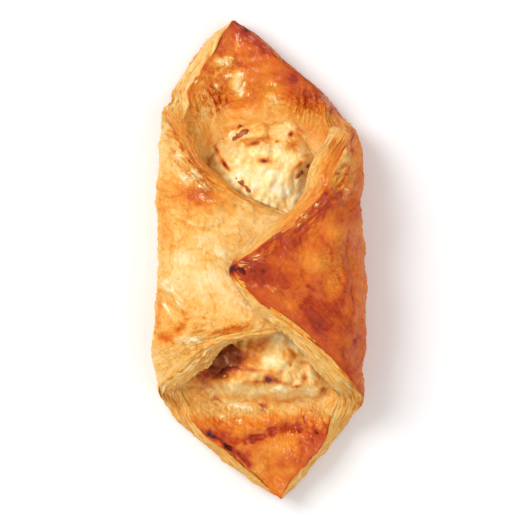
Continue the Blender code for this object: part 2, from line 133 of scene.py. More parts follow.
# Fine skins over what shows: name, side of the sheet, southern and northern end in mm, rows, columns.
FINE_SKINS = (
    ("west_flap_skin", "outer", -45.5, 48.5, 262, 170),
    ("east_flap_skin", "outer", -50, 44, 262, 180),
    ("north_corner_skin", "inner", 25, 77, 180, 190),
    ("south_corner_skin", "inner", -77.5, -34, 160, 190),
)
SKIN_RIM = 1.0 * MM  # how far a fine skin stays from the free edge
SKIN_LIFT = 0.07 * MM  # how far it lies above the crust's surface
SKIN_DIVE = 0.6 * MM  # how far its border goes down from there
SKIN_DEPTH = 2.5 * MM  # how far a fine skin reaches into the dough
SKIN_SINK = 0.8 * MM  # how far the crust lies lower under a fine skin
FLAT_RUN = 20 * MM
FLAT_DENSITY = 0.42

# Filling: a log that runs from one opening to the other.
FILLING_SOUTH = -49 * MM
FILLING_NORTH = 46.5 * MM
FILLING_HALF_WIDTH = (23.6 * MM, 21.5 * MM)  # to the south and to the north
FILLING_CROWN = 13.5 * MM  # height over the base dough, where nothing presses on it
FILLING_ROWS = 230
FILLING_POINTS = 170
FILLING_HOLLOW = 0.35  # share of the crown that is missing under the west flap's south lip
CURD_RELIEF = 0.9 * MM
EDGE_ROOM = 2.5 * MM  # how far past the west flap's free edge the cheese stays pressed down
ROOF_GAP = 0.25 * MM  # how far the curds stay under the west flap
SKIRT_REACH = 3.4 * MM  # how far the skirt of cheese runs past the log at both ends
SKIRT_DEPTH = 0.9 * MM  # how far the cheese reaches into the dough
RIM_DEPTH = 0.7 * MM  # how far the skirt's rim dives into the dough

# Ham: name, middle (x, y), length, width, direction in degrees, curl of the strip in degrees.
HAM = (
    ("ham_north_west", (-4.5, 25.5), 11.5, 4.4, -40, 35),
    ("ham_north_east", (14.5, 29.5), 9.5, 3.6, 42, -30),
    ("ham_north_tip", (-6.5, 42.2), 6.5, 2.8, 38, 20),
    ("ham_south_west", (-12.5, -33.5), 14.0, 6.4, 28, 30),
    ("ham_south_east", (18.5, -38.5), 10.5, 3.8, 48, -70),
)
HAM_WAVE = 0.35 * MM  # height of a strip's own waves

# ---- Shape functions ----------------------------------------------------------------------------------
def smooth(low, high, value):
    """0 below low, 1 above high, with a smooth step between them."""
    t = np.clip((value - low) / (high - low), 0, 1)
    return t * t * (3 - 2 * t)


def read_curve(knots, at):
    """A smooth curve through (position, value) knots in mm, read at positions in metres: cubic between
    knots, with each knot's slope the harmonic mean of its neighbours' slopes, so that it never overshoots."""
    x, y = np.array(knots, float).T
    run, rise = np.diff(x), np.diff(y)
    slope = rise / run
    same = slope[1:] * slope[:-1] > 0
    inner = np.where(same, 2 * slope[1:] * slope[:-1] / np.where(same, slope[1:] + slope[:-1], 1), 0)
    knot_slope = np.concatenate([slope[:1], inner, slope[-1:]])
    at = np.clip(np.asarray(at, float) / MM, x[0], x[-1])
    i = np.clip(np.searchsorted(x, at, side="right") - 1, 0, len(run) - 1)
    t = (at - x[i]) / run[i]
    return (
        (1 + 2 * t) * (1 - t) ** 2 * y[i]
        + t * (1 - t) ** 2 * run[i] * knot_slope[i]
        + t * t * (3 - 2 * t) * y[i + 1]
        + t * t * (t - 1) * run[i] * knot_slope[i + 1]
    )


def dense_line(points, steps=24):
    """A Catmull-Rom curve through points in mm: its arc length and its places, in metres."""
    inside = np.array(points, float) * MM
    ends = [2 * inside[:1] - inside[1:2], inside, 2 * inside[-1:] - inside[-2:-1]]
    p = np.vstack(ends)
    t = np.linspace(0, 1, steps, endpoint=False)[:, None]
    runs = [
        0.5 * (2 * b + (c - a) * t + (2 * a - 5 * b + 4 * c - d) * t**2 + (3 * b - a - 3 * c + d) * t**3)
        for a, b, c, d in zip(p, p[1:], p[2:], p[3:])
    ]
    line = np.vstack([*runs, inside[-1:]])
    return np.concatenate([[0], np.cumsum(np.hypot(*np.diff(line, axis=0).T))]), line


def waves(x, y, z, length, seed, count=9):
    """Smooth noise from about -1 to 1: a sum of plane waves in seeded directions, of about that
    wavelength."""
    random = np.random.default_rng(seed)
    total = 0
    for _ in range(count):
        way = random.normal(size=3)
        way *= 2 * np.pi / (length * random.uniform(0.7, 1.4) * np.linalg.norm(way))
        total = total + np.sin(way[0] * x + way[1] * y + way[2] * z + random.uniform(0, 2 * np.pi))
    return total / np.sqrt(count)


def swell(points):
    """Moves every point a little by its own place, more the higher it lies, so pieces keep their
    clearances."""
    x, y, z = np.moveaxis(points, -1, 0)
    share = SWELL * smooth(0, 14 * MM, z)
    moved = [
        x + share * waves(x, y, z, 48 * MM, 11),
        y + share * waves(x, y, z, 48 * MM, 12),
        z + share * waves(x, y, z, 42 * MM, 13),
    ]
    return np.stack(moved, axis=-1)


def stand(points):
    """The swollen shape, moved so that the origin lies under the middle of its bounding box."""
    return swell(points) + np.array(ORIGIN_SHIFT)


EAST_LENGTH, EAST_LINE = dense_line(EAST_SKIN)
WEST_LENGTH, WEST_LINE = dense_line(WEST_SKIN)


def skin_place(p, y):
    """(x, z) of the outer skin at wrap distance p, on the row at y."""
    east = [np.interp(p, EAST_LENGTH, EAST_LINE[:, k]) for k in (0, 1)]
    west = [np.interp(-p, WEST_LENGTH, WEST_LINE[:, k]) for k in (0, 1)]
    x = np.where(p > 0, east[0] * read_curve(EAST_WIDTH, y), -west[0] * read_curve(WEST_WIDTH, y))
    z = np.where(p > 0, east[1], west[1])
    on_top = smooth(14 * MM, 26 * MM, z)
    z = z - on_top * FLAP_FALL * smooth(12 * MM, 48 * MM, np.abs(y))
    # The west flap sags into the north opening, its south lip stands off the filling, and the east flap's
    # north edge sinks after the west flap.
    over_west, over_east = smooth(-60 * MM, -74 * MM, p), smooth(62 * MM, 80 * MM, p)
    for over, sags in ((over_west, WEST_FLAP_SAGS), (over_east, EAST_FLAP_SAGS)):
        for middle_x, middle_y, wide, long, depth in sags:
            away = ((x - middle_x * MM) / (wide * MM)) ** 2 + ((y - middle_y * MM) / (long * MM)) ** 2
            z = z - over * depth * MM * np.exp(-away)
    return x, np.maximum(z, 0) + TIP_LIFT * smooth(56 * MM, 84 * MM, np.abs(y))


def skin_frame(p, y):
    """Place, unit tangent in the sense of growing p, and inward unit normal, each as (x, z)."""
    step = 2 * MM
    x, z = skin_place(p, y)
    ahead, behind = skin_place(p + step, y), skin_place(p - step, y)
    run, rise = ahead[0] - behind[0], ahead[1] - behind[1]
    size = np.hypot(run, rise)
    size = np.where(size > 0, size, 1)
    tangent = (run / size, rise / size)
    return (x, z), tangent, (-tangent[1], tangent[0])


def edges(y):
    """Wrap distance of the west edge (negative) and of the east edge on the row at y."""
    return -read_curve(WEST_EDGE, y) * MM, read_curve(EAST_EDGE, y) * MM


def thickness(p, y):
    """Thickness of the baked dough, less at the open points and at the tip of the east flap."""
    flap = np.where(p > 0, EAST_FLAP_THICKNESS, WEST_FLAP_THICKNESS)
    thick = BASE_THICKNESS + (flap - BASE_THICKNESS) * smooth(40 * MM, 60 * MM, np.abs(p))
    thick = thick + (EAST_TIP_THICKNESS - EAST_FLAP_THICKNESS) * smooth(82 * MM, 104 * MM, p)
    return thick - 2.5 * MM * smooth(66 * MM, HALF_LENGTH, np.abs(y))


def puff_rise(x, z, p, y):
    """How far the inner skin at (x, z) is lifted straight up, by the rims and the puffed parts of the
    base. The lift of the base fades with height, up the side walls."""
    west, east = edges(y)
    near = np.minimum(east - p, p - west) * 0.66
    corner = smooth(38 * MM, 54 * MM, np.abs(y)) * smooth(50 * MM, 30 * MM, np.abs(p))
    rise = RIM_PUFF * corner * (1 - smooth(0, RIM_REACH, near)) ** 1.3
    for middle_x, middle_y, height, wide, long in FLOOR_PUFFS:
        away = ((x / MM - middle_x) / wide) ** 2 + ((y / MM - middle_y) / long) ** 2
        rise = rise + height * MM * np.exp(-away) * smooth(26 * MM, 8 * MM, z)
    return rise


def spread(p):
    """Wrap distance with the flat base run shortened, so that even steps crowd the curved sides."""
    flat = np.minimum(np.abs(p), FLAT_RUN)
    return np.sign(p) * (flat * FLAT_DENSITY + np.abs(p) - flat)


def unspread(r):
    """The wrap distance for which spread gives r."""
    flat = np.minimum(np.abs(r), FLAT_RUN * FLAT_DENSITY)
    return np.sign(r) * (flat / FLAT_DENSITY + np.abs(r) - flat)


def half_run(edge, steps):
    """Wrap distances from the middle of the base out to an edge. Where the flap is long enough, the points up
    to the shoulder are the same on every row, so that the side walls stay smooth."""
    to_shoulder, over_flap = steps
    shoulder = np.minimum(SHOULDER, 0.75 * edge)
    low = unspread(spread(shoulder) * np.linspace(0, 1, to_shoulder + 1))
    return np.concatenate([low, shoulder + (edge - shoulder) * np.linspace(0, 1, over_flap + 1)[1:]], axis=1)


def full_run(west, east, steps):
    """Wrap distances from the west edge to the east edge on each row, through a middle between them."""
    middle = np.clip(0, west + 0.25 * (east - west), east - 0.25 * (east - west))
    westwards = middle - half_run(middle - west, steps)[:, :0:-1]
    return np.concatenate([westwards, middle + half_run(east - middle, steps)], axis=1)


def row_places(count):
    """Rows from the south point to the north point, closer together where the free edges run across them."""
    y = np.linspace(-HALF_LENGTH, HALF_LENGTH, 1601)
    west, east = edges(y)
    density = 0.6 + 0.25 * np.abs(np.gradient(west, y)) + 0.25 * np.abs(np.gradient(east, y))
    density = np.convolve(np.pad(density, 40, mode="edge"), np.ones(81) / 81, mode="valid")
    passed = np.concatenate([[0], np.cumsum((density[1:] + density[:-1]) / 2)])
    return np.interp(np.linspace(0, passed[-1], count), passed, y)


def inner_place(p, y):
    """Points of the inner skin."""
    (x, z), _, normal = skin_frame(p, y)
    thick = thickness(p, y)
    x, z = x + normal[0] * thick, z + normal[1] * thick
    return np.stack([x, y + 0 * p, z + puff_rise(x, z, p, y)], axis=-1)


def outer_place(p, y):
    """Points of the outer skin."""
    (x, z), _, _ = skin_frame(p, y)
    return np.stack([x, y + 0 * p, z], axis=-1)


def floor_height(x, y):
    """Height of the inner skin of the base under points (x, y), with each row's skin read across."""
    p = np.linspace(-34 * MM, 34 * MM, 69)
    row = inner_place(p[None, :], y[:, None])
    return np.stack([np.interp(at, line[:, 0], line[:, 2]) for at, line in zip(x, row)])


def roof_height(x, y):
    """Height of the underside of the west flap over points (x, y), rising steeply past its free edge."""
    roof = []
    for at, row_y in zip(x, y):
        west, _ = edges(row_y)
        end = west + float(read_curve(WEST_SLANT, row_y)) * MM
        p = np.linspace(min(end, -50 * MM), -46 * MM, 60)
        line = inner_place(p, np.full_like(p, row_y))
        order = np.argsort(line[:, 0])
        past = np.maximum(at - line[:, 0].max() - EDGE_ROOM, 0)
        roof.append(np.interp(at, line[order, 0], line[order, 2]) + 1.2 * past)
    return np.stack(roof)


def filling_plan(y):
    """Middle and half width of the filling on the row at y."""
    south, north = FILLING_HALF_WIDTH
    share = np.where(y > 0, y / FILLING_NORTH, y / FILLING_SOUTH)
    round_end = np.where(
        y > 0,
        south + (north - south) * smooth(0, 30 * MM, y),
        south,
    ) * np.where(
        y > 0,
        (1 - np.clip(share, 0, 1) ** 3.4) ** 0.46,
        (1 - np.clip(share, 0, 1) ** 8) ** 0.42,
    )
    middle = np.where(y > 0, 1.2 * MM * smooth(0, 30 * MM, y), 2.2 * MM * smooth(20 * MM, 46 * MM, -y))
    middle = middle + 0.7 * MM * waves(0, y, 0, 9 * MM, 51)
    return middle, round_end * (1 + 0.035 * waves(0, y, 0, 11 * MM, 52))


def filling_top(x, y):
    """Height of the cheese over points (x, y): a low crown with curds, held down under the west flap."""
    middle, half = filling_plan(y)
    across = (x - middle[:, None]) / np.maximum(half[:, None], 1e-6)
    along = np.where(y > 0, y / FILLING_NORTH, y / FILLING_SOUTH)[:, None]
    crown = FILLING_CROWN * (1 - np.clip(np.abs(along), 0, 1) ** 3.6) ** 0.85
    crown = crown * (1 - np.clip(np.abs(across), 0, 1) ** 2.8) ** 0.7
    hollow = ((x + 11 * MM) / (9 * MM)) ** 2 + ((y[:, None] + 29 * MM) / (6.5 * MM)) ** 2
    crown = crown * (1 - FILLING_HOLLOW * np.exp(-hollow))
    edge = np.linspace(-1, 1, 2)
    margin = floor_height(middle[:, None] + half[:, None] * edge, y) + CLEARANCE
    base = margin[:, :1] + (margin[:, 1:] - margin[:, :1]) * (across + 1) / 2
    curds = np.abs(waves(x, y[:, None], 0, 11 * MM, 41)) * CURD_RELIEF * np.minimum(1, crown / (5 * MM))
    return np.minimum(base + crown + curds, roof_height(x, y) - CLEARANCE)


def ham_frame(middle, heading):
    """Middle of a strip of ham, and the unit directions along and across it."""
    angle = np.radians(heading)
    along = np.array([np.cos(angle), np.sin(angle)])
    return np.array(middle) * MM, along, np.array([along[1], -along[0]])


# ---- Fine surfaces ------------------------------------------------------------------------------------
def split(points):
    """The x, y and z of points, as three arrays."""
    return np.moveaxis(points, -1, 0)


def fractal(points, length, seed, octaves=3):
    """Noise of several sizes: waves of each half length added at 0.55 of the strength before, about -1 to
    1."""
    x, y, z = split(points)
    return sum(0.55**k * waves(x, y, z, length * 0.5**k, seed + 7 * k) for k in range(octaves)) / 1.5


def terraces(value, steps, soft=0.25):
    """Treads of equal height with short slopes between them: the whole part of value times steps, with a
    smooth rise over the last soft share of each tread. Also a bell over the middle of that rise."""
    raised = value * steps
    tread = np.floor(raised)
    part = raised - tread
    bell = np.exp(-(((part - 1 + soft / 2) / (0.45 * soft)) ** 2))
    return (tread + smooth(1 - soft, 1, part)) / steps, bell


def grid_normals(rows):
    """Unit normals of closed loops: the cross product of the step to the next row and the step round the
    loop."""
    along = np.gradient(rows, axis=0)
    around = np.roll(rows, -1, axis=1) - np.roll(rows, 1, axis=1)
    normal = np.cross(along, around)
    return normal / np.maximum(np.linalg.norm(normal, axis=-1, keepdims=True), 1e-12)


def spot(x, y, centre_x, centre_y, half_x, half_y, angle=0.0):
    """A soft oval spot: the Gauss bell of the distance from its centre, in half widths along its own
    axes, with the long axis turned by angle degrees. Places and widths in mm."""
    turn = np.radians(angle)
    dx, dy = x / MM - centre_x, y / MM - centre_y
    u = (dx * np.cos(turn) + dy * np.sin(turn)) / half_x
    v = (dy * np.cos(turn) - dx * np.sin(turn)) / half_y
    return np.exp(-(u**2 + v**2))


def spots(x, y, places):
    """The sum of strength times spot over (x, y, half x, half y, angle, strength)."""
    return sum(strength * spot(x, y, *place) for *place, strength in places)


# ---- Marks, spots and bakes ---------------------------------------------------------------------------
# Drawn features of the crust in mm: (width, browning, height, points along it). Some are painted
# highlights or painted shade, as marked.
WEST_MARKS = (
    # The next three lines are painted highlights: pale streaks on the glazed shoulder.
    (0.5, -0.32, 0.3, ((-26.7, 28.9), (-24.3, 25.5))),
    (0.6, -0.32, 0.3, ((-22, 26.5), (-19.5, 24.6), (-17.3, 23.6))),
    (0.5, -0.26, 0.2, ((-22, 29.5), (-19.7, 27.5))),
    (0.55, 0.26, -0.35, ((-30.7, 48.9), (-29.5, 44.2), (-27.2, 40.5), (-25, 36.5))),
    (0.5, 0.24, -0.4, ((-26.1, 43), (-24, 39.5), (-22, 35.5), (-19.7, 31.9), (-16.3, 27.9), (-13.5, 26.2))),
    (0.45, 0.22, -0.35, ((-27.2, 40), (-25, 36), (-22.8, 32.5), (-19.5, 28.8), (-15, 25.4), (-11, 24))),
    (0.45, 0.20, -0.3,
     ((-24.5, 43), (-22.3, 39), (-20.2, 34.6), (-17, 30.4), (-12, 26.6), (-5, 23.2), (0.7, 20.8))),
    (0.5, 0.2, -0.3, ((-28, 33), (-25.4, 29.6), (-22, 27), (-19, 24.6))),
    # This line and the next are painted highlights: a pale ridge on the shoulder and a pale fold.
    (0.7, -0.14, 0.4, ((-23.2, 31.4), (-21, 28.6), (-19, 27))),
    (0.7, -0.12, 0.45, ((-29.2, 15.5), (-25.3, 13.6), (-22, 11.8), (-18, 11.4), (-14, 12.6))),
    (0.6, 0.10, -0.3, ((-27.5, 13.4), (-23, 11.2), (-17, 10.2), (-12, 11.6), (-9, 15), (-7, 19))),
    (0.5, 0.16, -0.25, ((-3.4, 21.3), (0, 20.2), (3, 18.6))),
    (0.5, 0.14, -0.25, ((-17, 2), (-12.6, 0.4), (-9, -3.6), (-5, -8.2), (0, -13.5))),
    (0.5, 0.10, -0.2, ((-23, -2.4), (-18, -3.2), (-13, -2.2), (-10, -5))),
    # Painted highlight along a pale ragged ridge.
    (1.1, -0.16, 0.5, ((-32, -6.6), (-29.4, -10), (-27.2, -13), (-25.3, -15.6))),
    (0.6, 0.16, -0.35, ((-31, -13.5), (-28, -16.4), (-25, -17.6), (-23.6, -20))),
    (0.9, 0.16, -0.3, ((-29.5, -20.5), (-27.4, -23), (-25, -22.2))),
    (1.6, 0.22, -0.3, ((-32.2, -25.4), (-29.2, -26.2))),
    # Painted highlight along the south lip.
    (1.0, -0.20, 0.6, ((-26.8, -26.2), (-23, -26.4), (-19.3, -26.2))),
    (0.8, 0.16, -0.2, ((-20, -29), (-15.3, -24.6), (-9, -22.6), (-3, -21.4))),
    (0.45, 0.14, -0.3, ((-29, -33.5), (-24, -30), (-19, -27.8), (-13, -25.4), (-6, -24))),
    (0.45, 0.12, -0.3, ((-25.5, -20), (-19, -19), (-14, -20.6), (-9, -19.6))),
)
EAST_MARKS = (
    # The next three lines are painted highlights: sparkles on the upper band and a pale spot on the burnt
    # tip.
    (0.4, -0.30, 0.3, ((12, 13.4), (14.6, 15.6), (17, 18.6))),
    (0.5, -0.30, 0.3, ((2, 8), (4.4, 9.4))),
    (0.5, -0.40, 0.2, ((-7.6, -0.4), (-6, -1.6))),
    (0.4, -0.24, 0.3, ((27.6, 40), (27.8, 34), (26, 29.5))),
    (0.5, 0.22, -0.35,
     ((30.7, 43.7), (31.1, 37.5), (28.8, 32.2), (26.4, 28.5), (25.4, 24.5), (22, 21.6), (17.4, 17.6))),
    (0.5, 0.2, -0.35, ((32, 38), (30.2, 32), (28, 27), (26.6, 22.5))),
    (0.45, 0.2, -0.3,
     ((28.6, 41), (28.9, 36), (27, 31.4), (24.6, 27.4), (22.6, 24.4), (18, 20.6), (13, 15.4))),
    (2.2, 0.19, 0.3, ((24.5, 21), (19.5, 15.6), (13.5, 8.8), (8.8, 5.4), (3.6, 2.6))),
    (1.1, 0.18, -0.3, ((26.2, 22), (25.6, 17), (27, 13))),
    (0.8, 0.30, -0.2, ((-7.6, -2.4), (-6.4, -3.2), (-5.2, -4.2))),
    (2.6, 0.16, 0.2, ((-4, -2.5), (2.5, -5), (8, -7.5))),
    # Painted highlight on a glazed blister.
    (0.8, -0.14, 0.4, ((2.6, -9), (4.4, -10.4))),
    (2.6, 0.16, 0.2, ((15.6, -14.4), (17.4, -19.4), (21, -22.4))),
    (3.2, 0.13, 0.2, ((23, -15), (26.6, -20), (30.5, -28), (32, -35))),
    (0.5, 0.16, -0.35, ((16, -13), (19.6, -15.4), (23.6, -14.2))),
    (0.5, 0.12, -0.3, ((30, 10), (29, 2), (30.4, -6), (31, -14), (30, -22))),
    (0.5, 0.10, -0.3, ((20, 8), (23.6, 3.6), (24, -2.6), (27.4, -8))),
    (0.5, 0.12, -0.3, ((10, 1), (14, -3), (15, -8), (19, -10.4))),
    (0.9, 0.14, 0.2, ((27, -14), (28.5, -8), (27.6, 0))),
    (0.6, 0.14, -0.2, ((-4.6, 1.6), (-1, 2.8), (3, 5.4), (7.6, 8.6))),
)
NORTH_MARKS = (
    (2.3, 0.24, 0.3, ((-7, 79), (-3.2, 76.2), (1, 73), (4.2, 70.8))),
    # Painted highlight along a wrinkle.
    (0.35, -0.2, 0.35, ((-8.1, 76), (-7.6, 73.4), (-8, 70.6))),
    # This line and the next five are painted highlights where the glazed blisters catch the light, on blister
    # skins that are also paler.
    (1.4, -0.10, 0.7, ((-14.6, 66.6), (-12, 67.6), (-9.8, 67.6))),
    (0.5, -0.16, 0.5, ((-9.6, 65.2), (-12.2, 64.2), (-15, 61.4))),
    (1.2, -0.12, 0.6, ((-6, 62.4), (-8.4, 60.4), (-9, 59.4))),
    (1.0, -0.10, 0.5, ((-7.6, 57.4), (-6.4, 55.6))),
    (1.0, -0.03, 0.3, ((3, 54), (4.8, 54.8))),
    (0.7, -0.12, 0.4, ((2.8, 58.8), (4.4, 59.8))),
    (0.45, 0.3, -0.4, ((-18, 57.6), (-15.8, 55.2), (-14.4, 52.4), (-14, 50.6))),
    (0.4, 0.26, -0.4, ((-16.6, 58.4), (-14, 55.6), (-13, 53))),
    (0.4, 0.26, -0.4, ((-18.4, 54.4), (-16.6, 51.4), (-15.8, 48.6))),
    (0.4, 0.24, -0.35, ((-11.4, 55), (-10.8, 52.4))),
    # Painted shade: darker along the crease by the cheese, over a groove.
    (0.5, 0.16, -0.5, ((-16.4, 50.4), (-16.6, 44), (-16.2, 38), (-14.6, 35.4), (-12, 31.4))),
    (1.5, 0.16, 0, ((-23.6, 52.4), (-22.6, 50))),
    (1.4, 0.16, 0.2, ((-23, 45), (-22, 42))),
    (0.9, -0.16, 0.5, ((-24.2, 43.4), (-23.4, 47), (-21, 49.4), (-17.8, 50.6))),
    (1.1, 0.16, 0, ((-18, 65.4), (-17.2, 63.6))),
    (0.9, 0.12, -0.2, ((-8, 68.4), (-4.4, 68.6), (-2, 69.6))),
    (1.3, 0.12, 0, ((-7, 66), (-5.6, 64.8))),
    (0.45, 0.22, -0.4, ((15.2, 56.4), (15.8, 53), (15.4, 50))),
    (0.45, 0.24, -0.4, ((17, 56.6), (17.6, 53), (17.4, 49.4))),
    (0.45, 0.2, -0.4, ((18.8, 56), (19.4, 52.6), (19.4, 49))),
    (0.45, 0.16, -0.35, ((13, 54.4), (13.4, 51), (12.8, 48.4))),
    (1.2, 0.2, 0.2, ((10.4, 61.6), (11.6, 59.6))),
    (2.2, 0.14, 0.2, ((20, 54), (23.4, 49.6), (25.6, 45))),
)
SOUTH_MARKS = (
    (0.75, 0.5, -0.7, ((-17, -58.6), (-13.3, -60.3), (-11, -62.7), (-8, -64), (-6, -66), (-3.4, -69))),
    (2.2, 0.22, 0, ((-13.4, -57.4), (-10, -60.6))),
    (1.1, 0.34, -1.0,
     ((-12, -61.2), (-9, -60.7), (-4.3, -60.5), (0.6, -59.8), (3.4, -58), (9, -56.6), (14, -56.6))),
    (1.4, -0.02, 0.8, ((-12, -57.6), (-4, -57.2), (2, -56), (9, -53.6))),
    (1.4, 0.2, 0.1, ((-3.6, -66), (-3, -68.8))),
    (0.45, 0.3, -0.4, ((17.8, -54.2), (18.6, -57), (20, -58.6))),
    (0.45, 0.26, -0.4, ((15, -53), (15.8, -56.4))),
    (0.45, 0.24, -0.4, ((12.6, -53.8), (13.4, -57.8))),
    (0.45, 0.22, -0.4, ((20.4, -50), (21, -54), (22.6, -57.4))),
    (0.45, 0.2, -0.4, ((22.6, -47.4), (22.8, -52), (24, -55))),
    (1.9, 0.16, 0.2, ((20, -58.6), (23.6, -57.6), (27, -55.8))),
    (1.1, 0.18, 0.1, ((26.6, -48), (26, -53.6))),
    (0.9, 0.3, 0, ((-2, -49.2), (2.8, -49.6))),
    (0.8, 0.18, 0, ((-8, -53.2), (-5, -53.8))),
    # Painted highlight by the cheese.
    (0.8, -0.3, 0.5, ((-8.4, -48.8), (-3.4, -50))),
    (2.0, 0.12, 0, ((7.6, -68.6), (11, -68), (15, -66.8))),
    (0.6, 0.12, -0.3, ((13.6, -60), (14.6, -64), (14, -68))),
    (1.5, 0.12, 0, ((5, -56.8), (11, -54), (15, -51.6))),
    (0.45, 0.12, -0.35, ((-17, -47.6), (-16.4, -51), (-17, -54))),
    (0.45, 0.12, -0.35, ((-14.4, -47.4), (-14, -51), (-15, -54))),
    (0.45, 0.1, -0.35, ((-11.6, -47.8), (-11, -51))),
    (0.8, 0.18, -0.3, ((-20, -39), (-20.4, -43), (-22.6, -47), (-24.4, -49))),
)
# Puffed blisters, as (x, y, half x, half y, angle, height) in mm and degrees.
BLISTERS = {
    "west": (
        (-20, 17, 7, 3.4, -10, 0.5), (-27, -11, 3, 5, 30, 0.5), (-10, -22, 6, 2.2, 8, 0.5),
        (-25, 3, 5, 3, 0, 0.4), (-12, 3, 5, 2, 0, 0.4),
    ),
    "east": (
        (26, 20, 3, 4, 45, 0.6), (20, 0, 5, 4, 0, 0.5), (27, 9, 3.4, 3, 0, 0.5), (6, -6, 5, 3, -20, 0.5),
        (19, -18, 6, 4, -45, 0.5), (29, -28, 3, 5, -20, 0.5), (26, 36, 3, 4, 0, 0.6),
    ),
    "north": (
        (-13, 59, 3, 3, 0, 0.6), (6, 61, 3.4, 3, 0, 0.6), (-3, 70, 3.4, 3, 0, 0.6),
        (13, 55, 4, 4, -30, 0.5), (-20, 46, 2.4, 4, 10, 0.8), (-15, 47, 2, 5, 0, 0.6),
        (-2.6, 49, 3.4, 1.8, 0, 0.9), (1, 46.6, 2.4, 2, 0, 0.7),
    ),
    "south": (
        (4, -53, 4.4, 2, 10, 0.6), (12, -52, 4, 3, 0, 0.5), (22.6, -50, 2.6, 4, 0, 0.6),
        (4, -63, 5, 3, 15, 0.6), (-2, -70, 3, 3, 0, 0.4), (13, -66, 4, 4, 0, 0.4),
    ),
}
# Smooth glazed blisters that catch the light, as (x, y, half x, half y, angle, height) in mm and degrees.
# The crust's material also paints highlights into the colour over these blisters.
GLAZED = {
    "west": (
        (-24.4, 26.6, 2.0, 2.6, -30, 0.9), (-18.2, 24.2, 3.0, 1.5, 10, 0.7),
        (-20.4, 28, 1.8, 1.3, 0, 0.6), (-22, -26.6, 4.4, 1.3, 3, 0.7), (-27.4, 34, 1.2, 1.8, -30, 0.5),
        (-17, 20.4, 3, 1.2, -12, 0.4), (-30, -8.6, 1.4, 2.4, 35, 0.4), (-26.4, -14.4, 1.2, 2.2, 30, 0.4),
        (-8.4, -3.4, 1.6, 1.0, -20, 0.3), (-31, -16, 1.2, 2.0, 0, 0.3),
    ),
    "east": (
        (-5.6, -1.6, 1.7, 1.2, -30, 0.6), (15.2, 15, 1.6, 1.1, 45, 0.5), (12.4, 12, 1.4, 1.0, 45, 0.5),
        (4.4, 8, 1.8, 1.0, 30, 0.5), (19, 18, 1.3, 1, 45, 0.5), (4.4, -9.6, 1.6, 1.0, -40, 0.5),
        (28, 22, 1.3, 2, 0, 0.5), (9, 6.4, 1.3, 1, 40, 0.4), (-1, 0.4, 2.0, 1.4, 20, 0.3),
        (7, 9.4, 2.4, 1.0, 40, 0.4), (-3.4, -2.0, 1.2, 1.0, 0, 0.2),
    ),
    "north": (
        (-11.2, 66.4, 3.0, 1.9, 10, 1.0), (-6.2, 60.2, 1.9, 3.2, -12, 1.0),
        (-4.8, 55.6, 1.6, 1.4, 0, 0.7), (5, 54.2, 2.2, 1.4, 15, 0.7), (4.2, 58.8, 1.7, 1.0, 0, 0.5),
        (-10.6, 62, 1.4, 1.2, 40, 0.5), (-7, 74, 1.0, 2.6, 0, 0.5), (-14.6, 57.8, 1.4, 1.6, 0, 0.6),
    ),
    "south": (
        (-4.6, -49.8, 3.2, 1.4, 0, 0.9), (-6, -54, 1.8, 1.1, 0, 0.6), (26.2, -56.4, 1.5, 1.3, 0, 0.5),
        (-12, -53, 1.6, 1.2, 0, 0.5), (11, -58, 2, 1, 10, 0.4),
    ),
}
MARKS = {"west": WEST_MARKS, "east": EAST_MARKS, "north": NORTH_MARKS, "south": SOUTH_MARKS}

# Browning, as (x, y, half x, half y, angle, strength) in mm and degrees: darker where positive, paler
# where negative. Some pale spots in the north and east tables are painted highlights or painted light, as
# marked.
WEST_BROWNING = (
    (-19, 21, 12, 4.5, -12, 0.36), (-26, 34, 6, 9, 0, -0.04), (-30, 41, 2.4, 2.2, 0, 0.16),
    (-29.2, 36.5, 2, 1.8, 0, 0.14), (-20, 31, 5, 3, -45, 0.14), (-8, 13, 11, 6, -10, -0.08),
    (-22, -5, 11, 9, 0, -0.11), (-27, 0.5, 4, 2, 0, -0.14), (-13, 2.4, 4, 1.4, 0, -0.14),
    (-17, -6, 6, 2.4, 0, -0.14), (-2, -10, 6, 9, 30, -0.12), (-10, -13, 6, 4, 0, -0.05),
    (-26, 6, 7, 4, 0, 0.08), (-33, 12, 3, 16, 0, 0.10), (-33.4, -17, 1.8, 11, 0, 0.18),
    (-17.2, 0.2, 1.4, 1.2, 0, 0.18), (-9, -23, 7, 2.2, 8, 0.16), (-27.3, -22.8, 2.4, 1.6, 0, 0.16),
    (-30.6, -26.4, 2.4, 2, 0, 0.2), (-25, -33, 5, 5, 0, 0.02), (-20.6, -22, 1.8, 1.6, 0, 0.14),
    (-28, -12, 2.4, 2.4, 0, 0.04), (-19, 7, 4, 3, 0, -0.10), (-5, 19, 8, 3, 0, -0.06),
    (-22, 12.4, 9, 3.6, 0, 0.07),
)
EAST_BROWNING_AND_PAINTED_LIGHT = (
    (-6.4, -2.8, 2.6, 2.0, -30, 0.26), (-3, -3, 4.2, 3.2, -30, 0.14), (3, -5, 7.5, 4.0, -15, 0.18),
    (10, 4.8, 7, 3.0, 42, 0.10), (20, -19, 8, 6, -45, 0.12), (31, -33, 4, 8, 0, -0.02),
    (20, -1.5, 4.4, 3.0, 0, -0.16), (26.5, 9.5, 3.4, 2.6, 0, -0.14), (26, -2, 3, 8, 0, -0.06),
    # On the next line, the spot at (25, 33) is painted light: paler on the slope that faces away from the key
    # lamp.
    (9, -13.5, 7, 2.4, -42, -0.06), (16, 12, 6, 3, 45, -0.06), (25, 33, 7, 10, 0, -0.36),
    (30, 20, 3.5, 8, 0, 0.02), (33, -2, 2.4, 26, 0, -0.04), (14, 1, 5, 3, 0, -0.04),
    (24, -9, 3, 3, 0, -0.08), (12, -6, 3, 2.6, 0, 0.06),
)
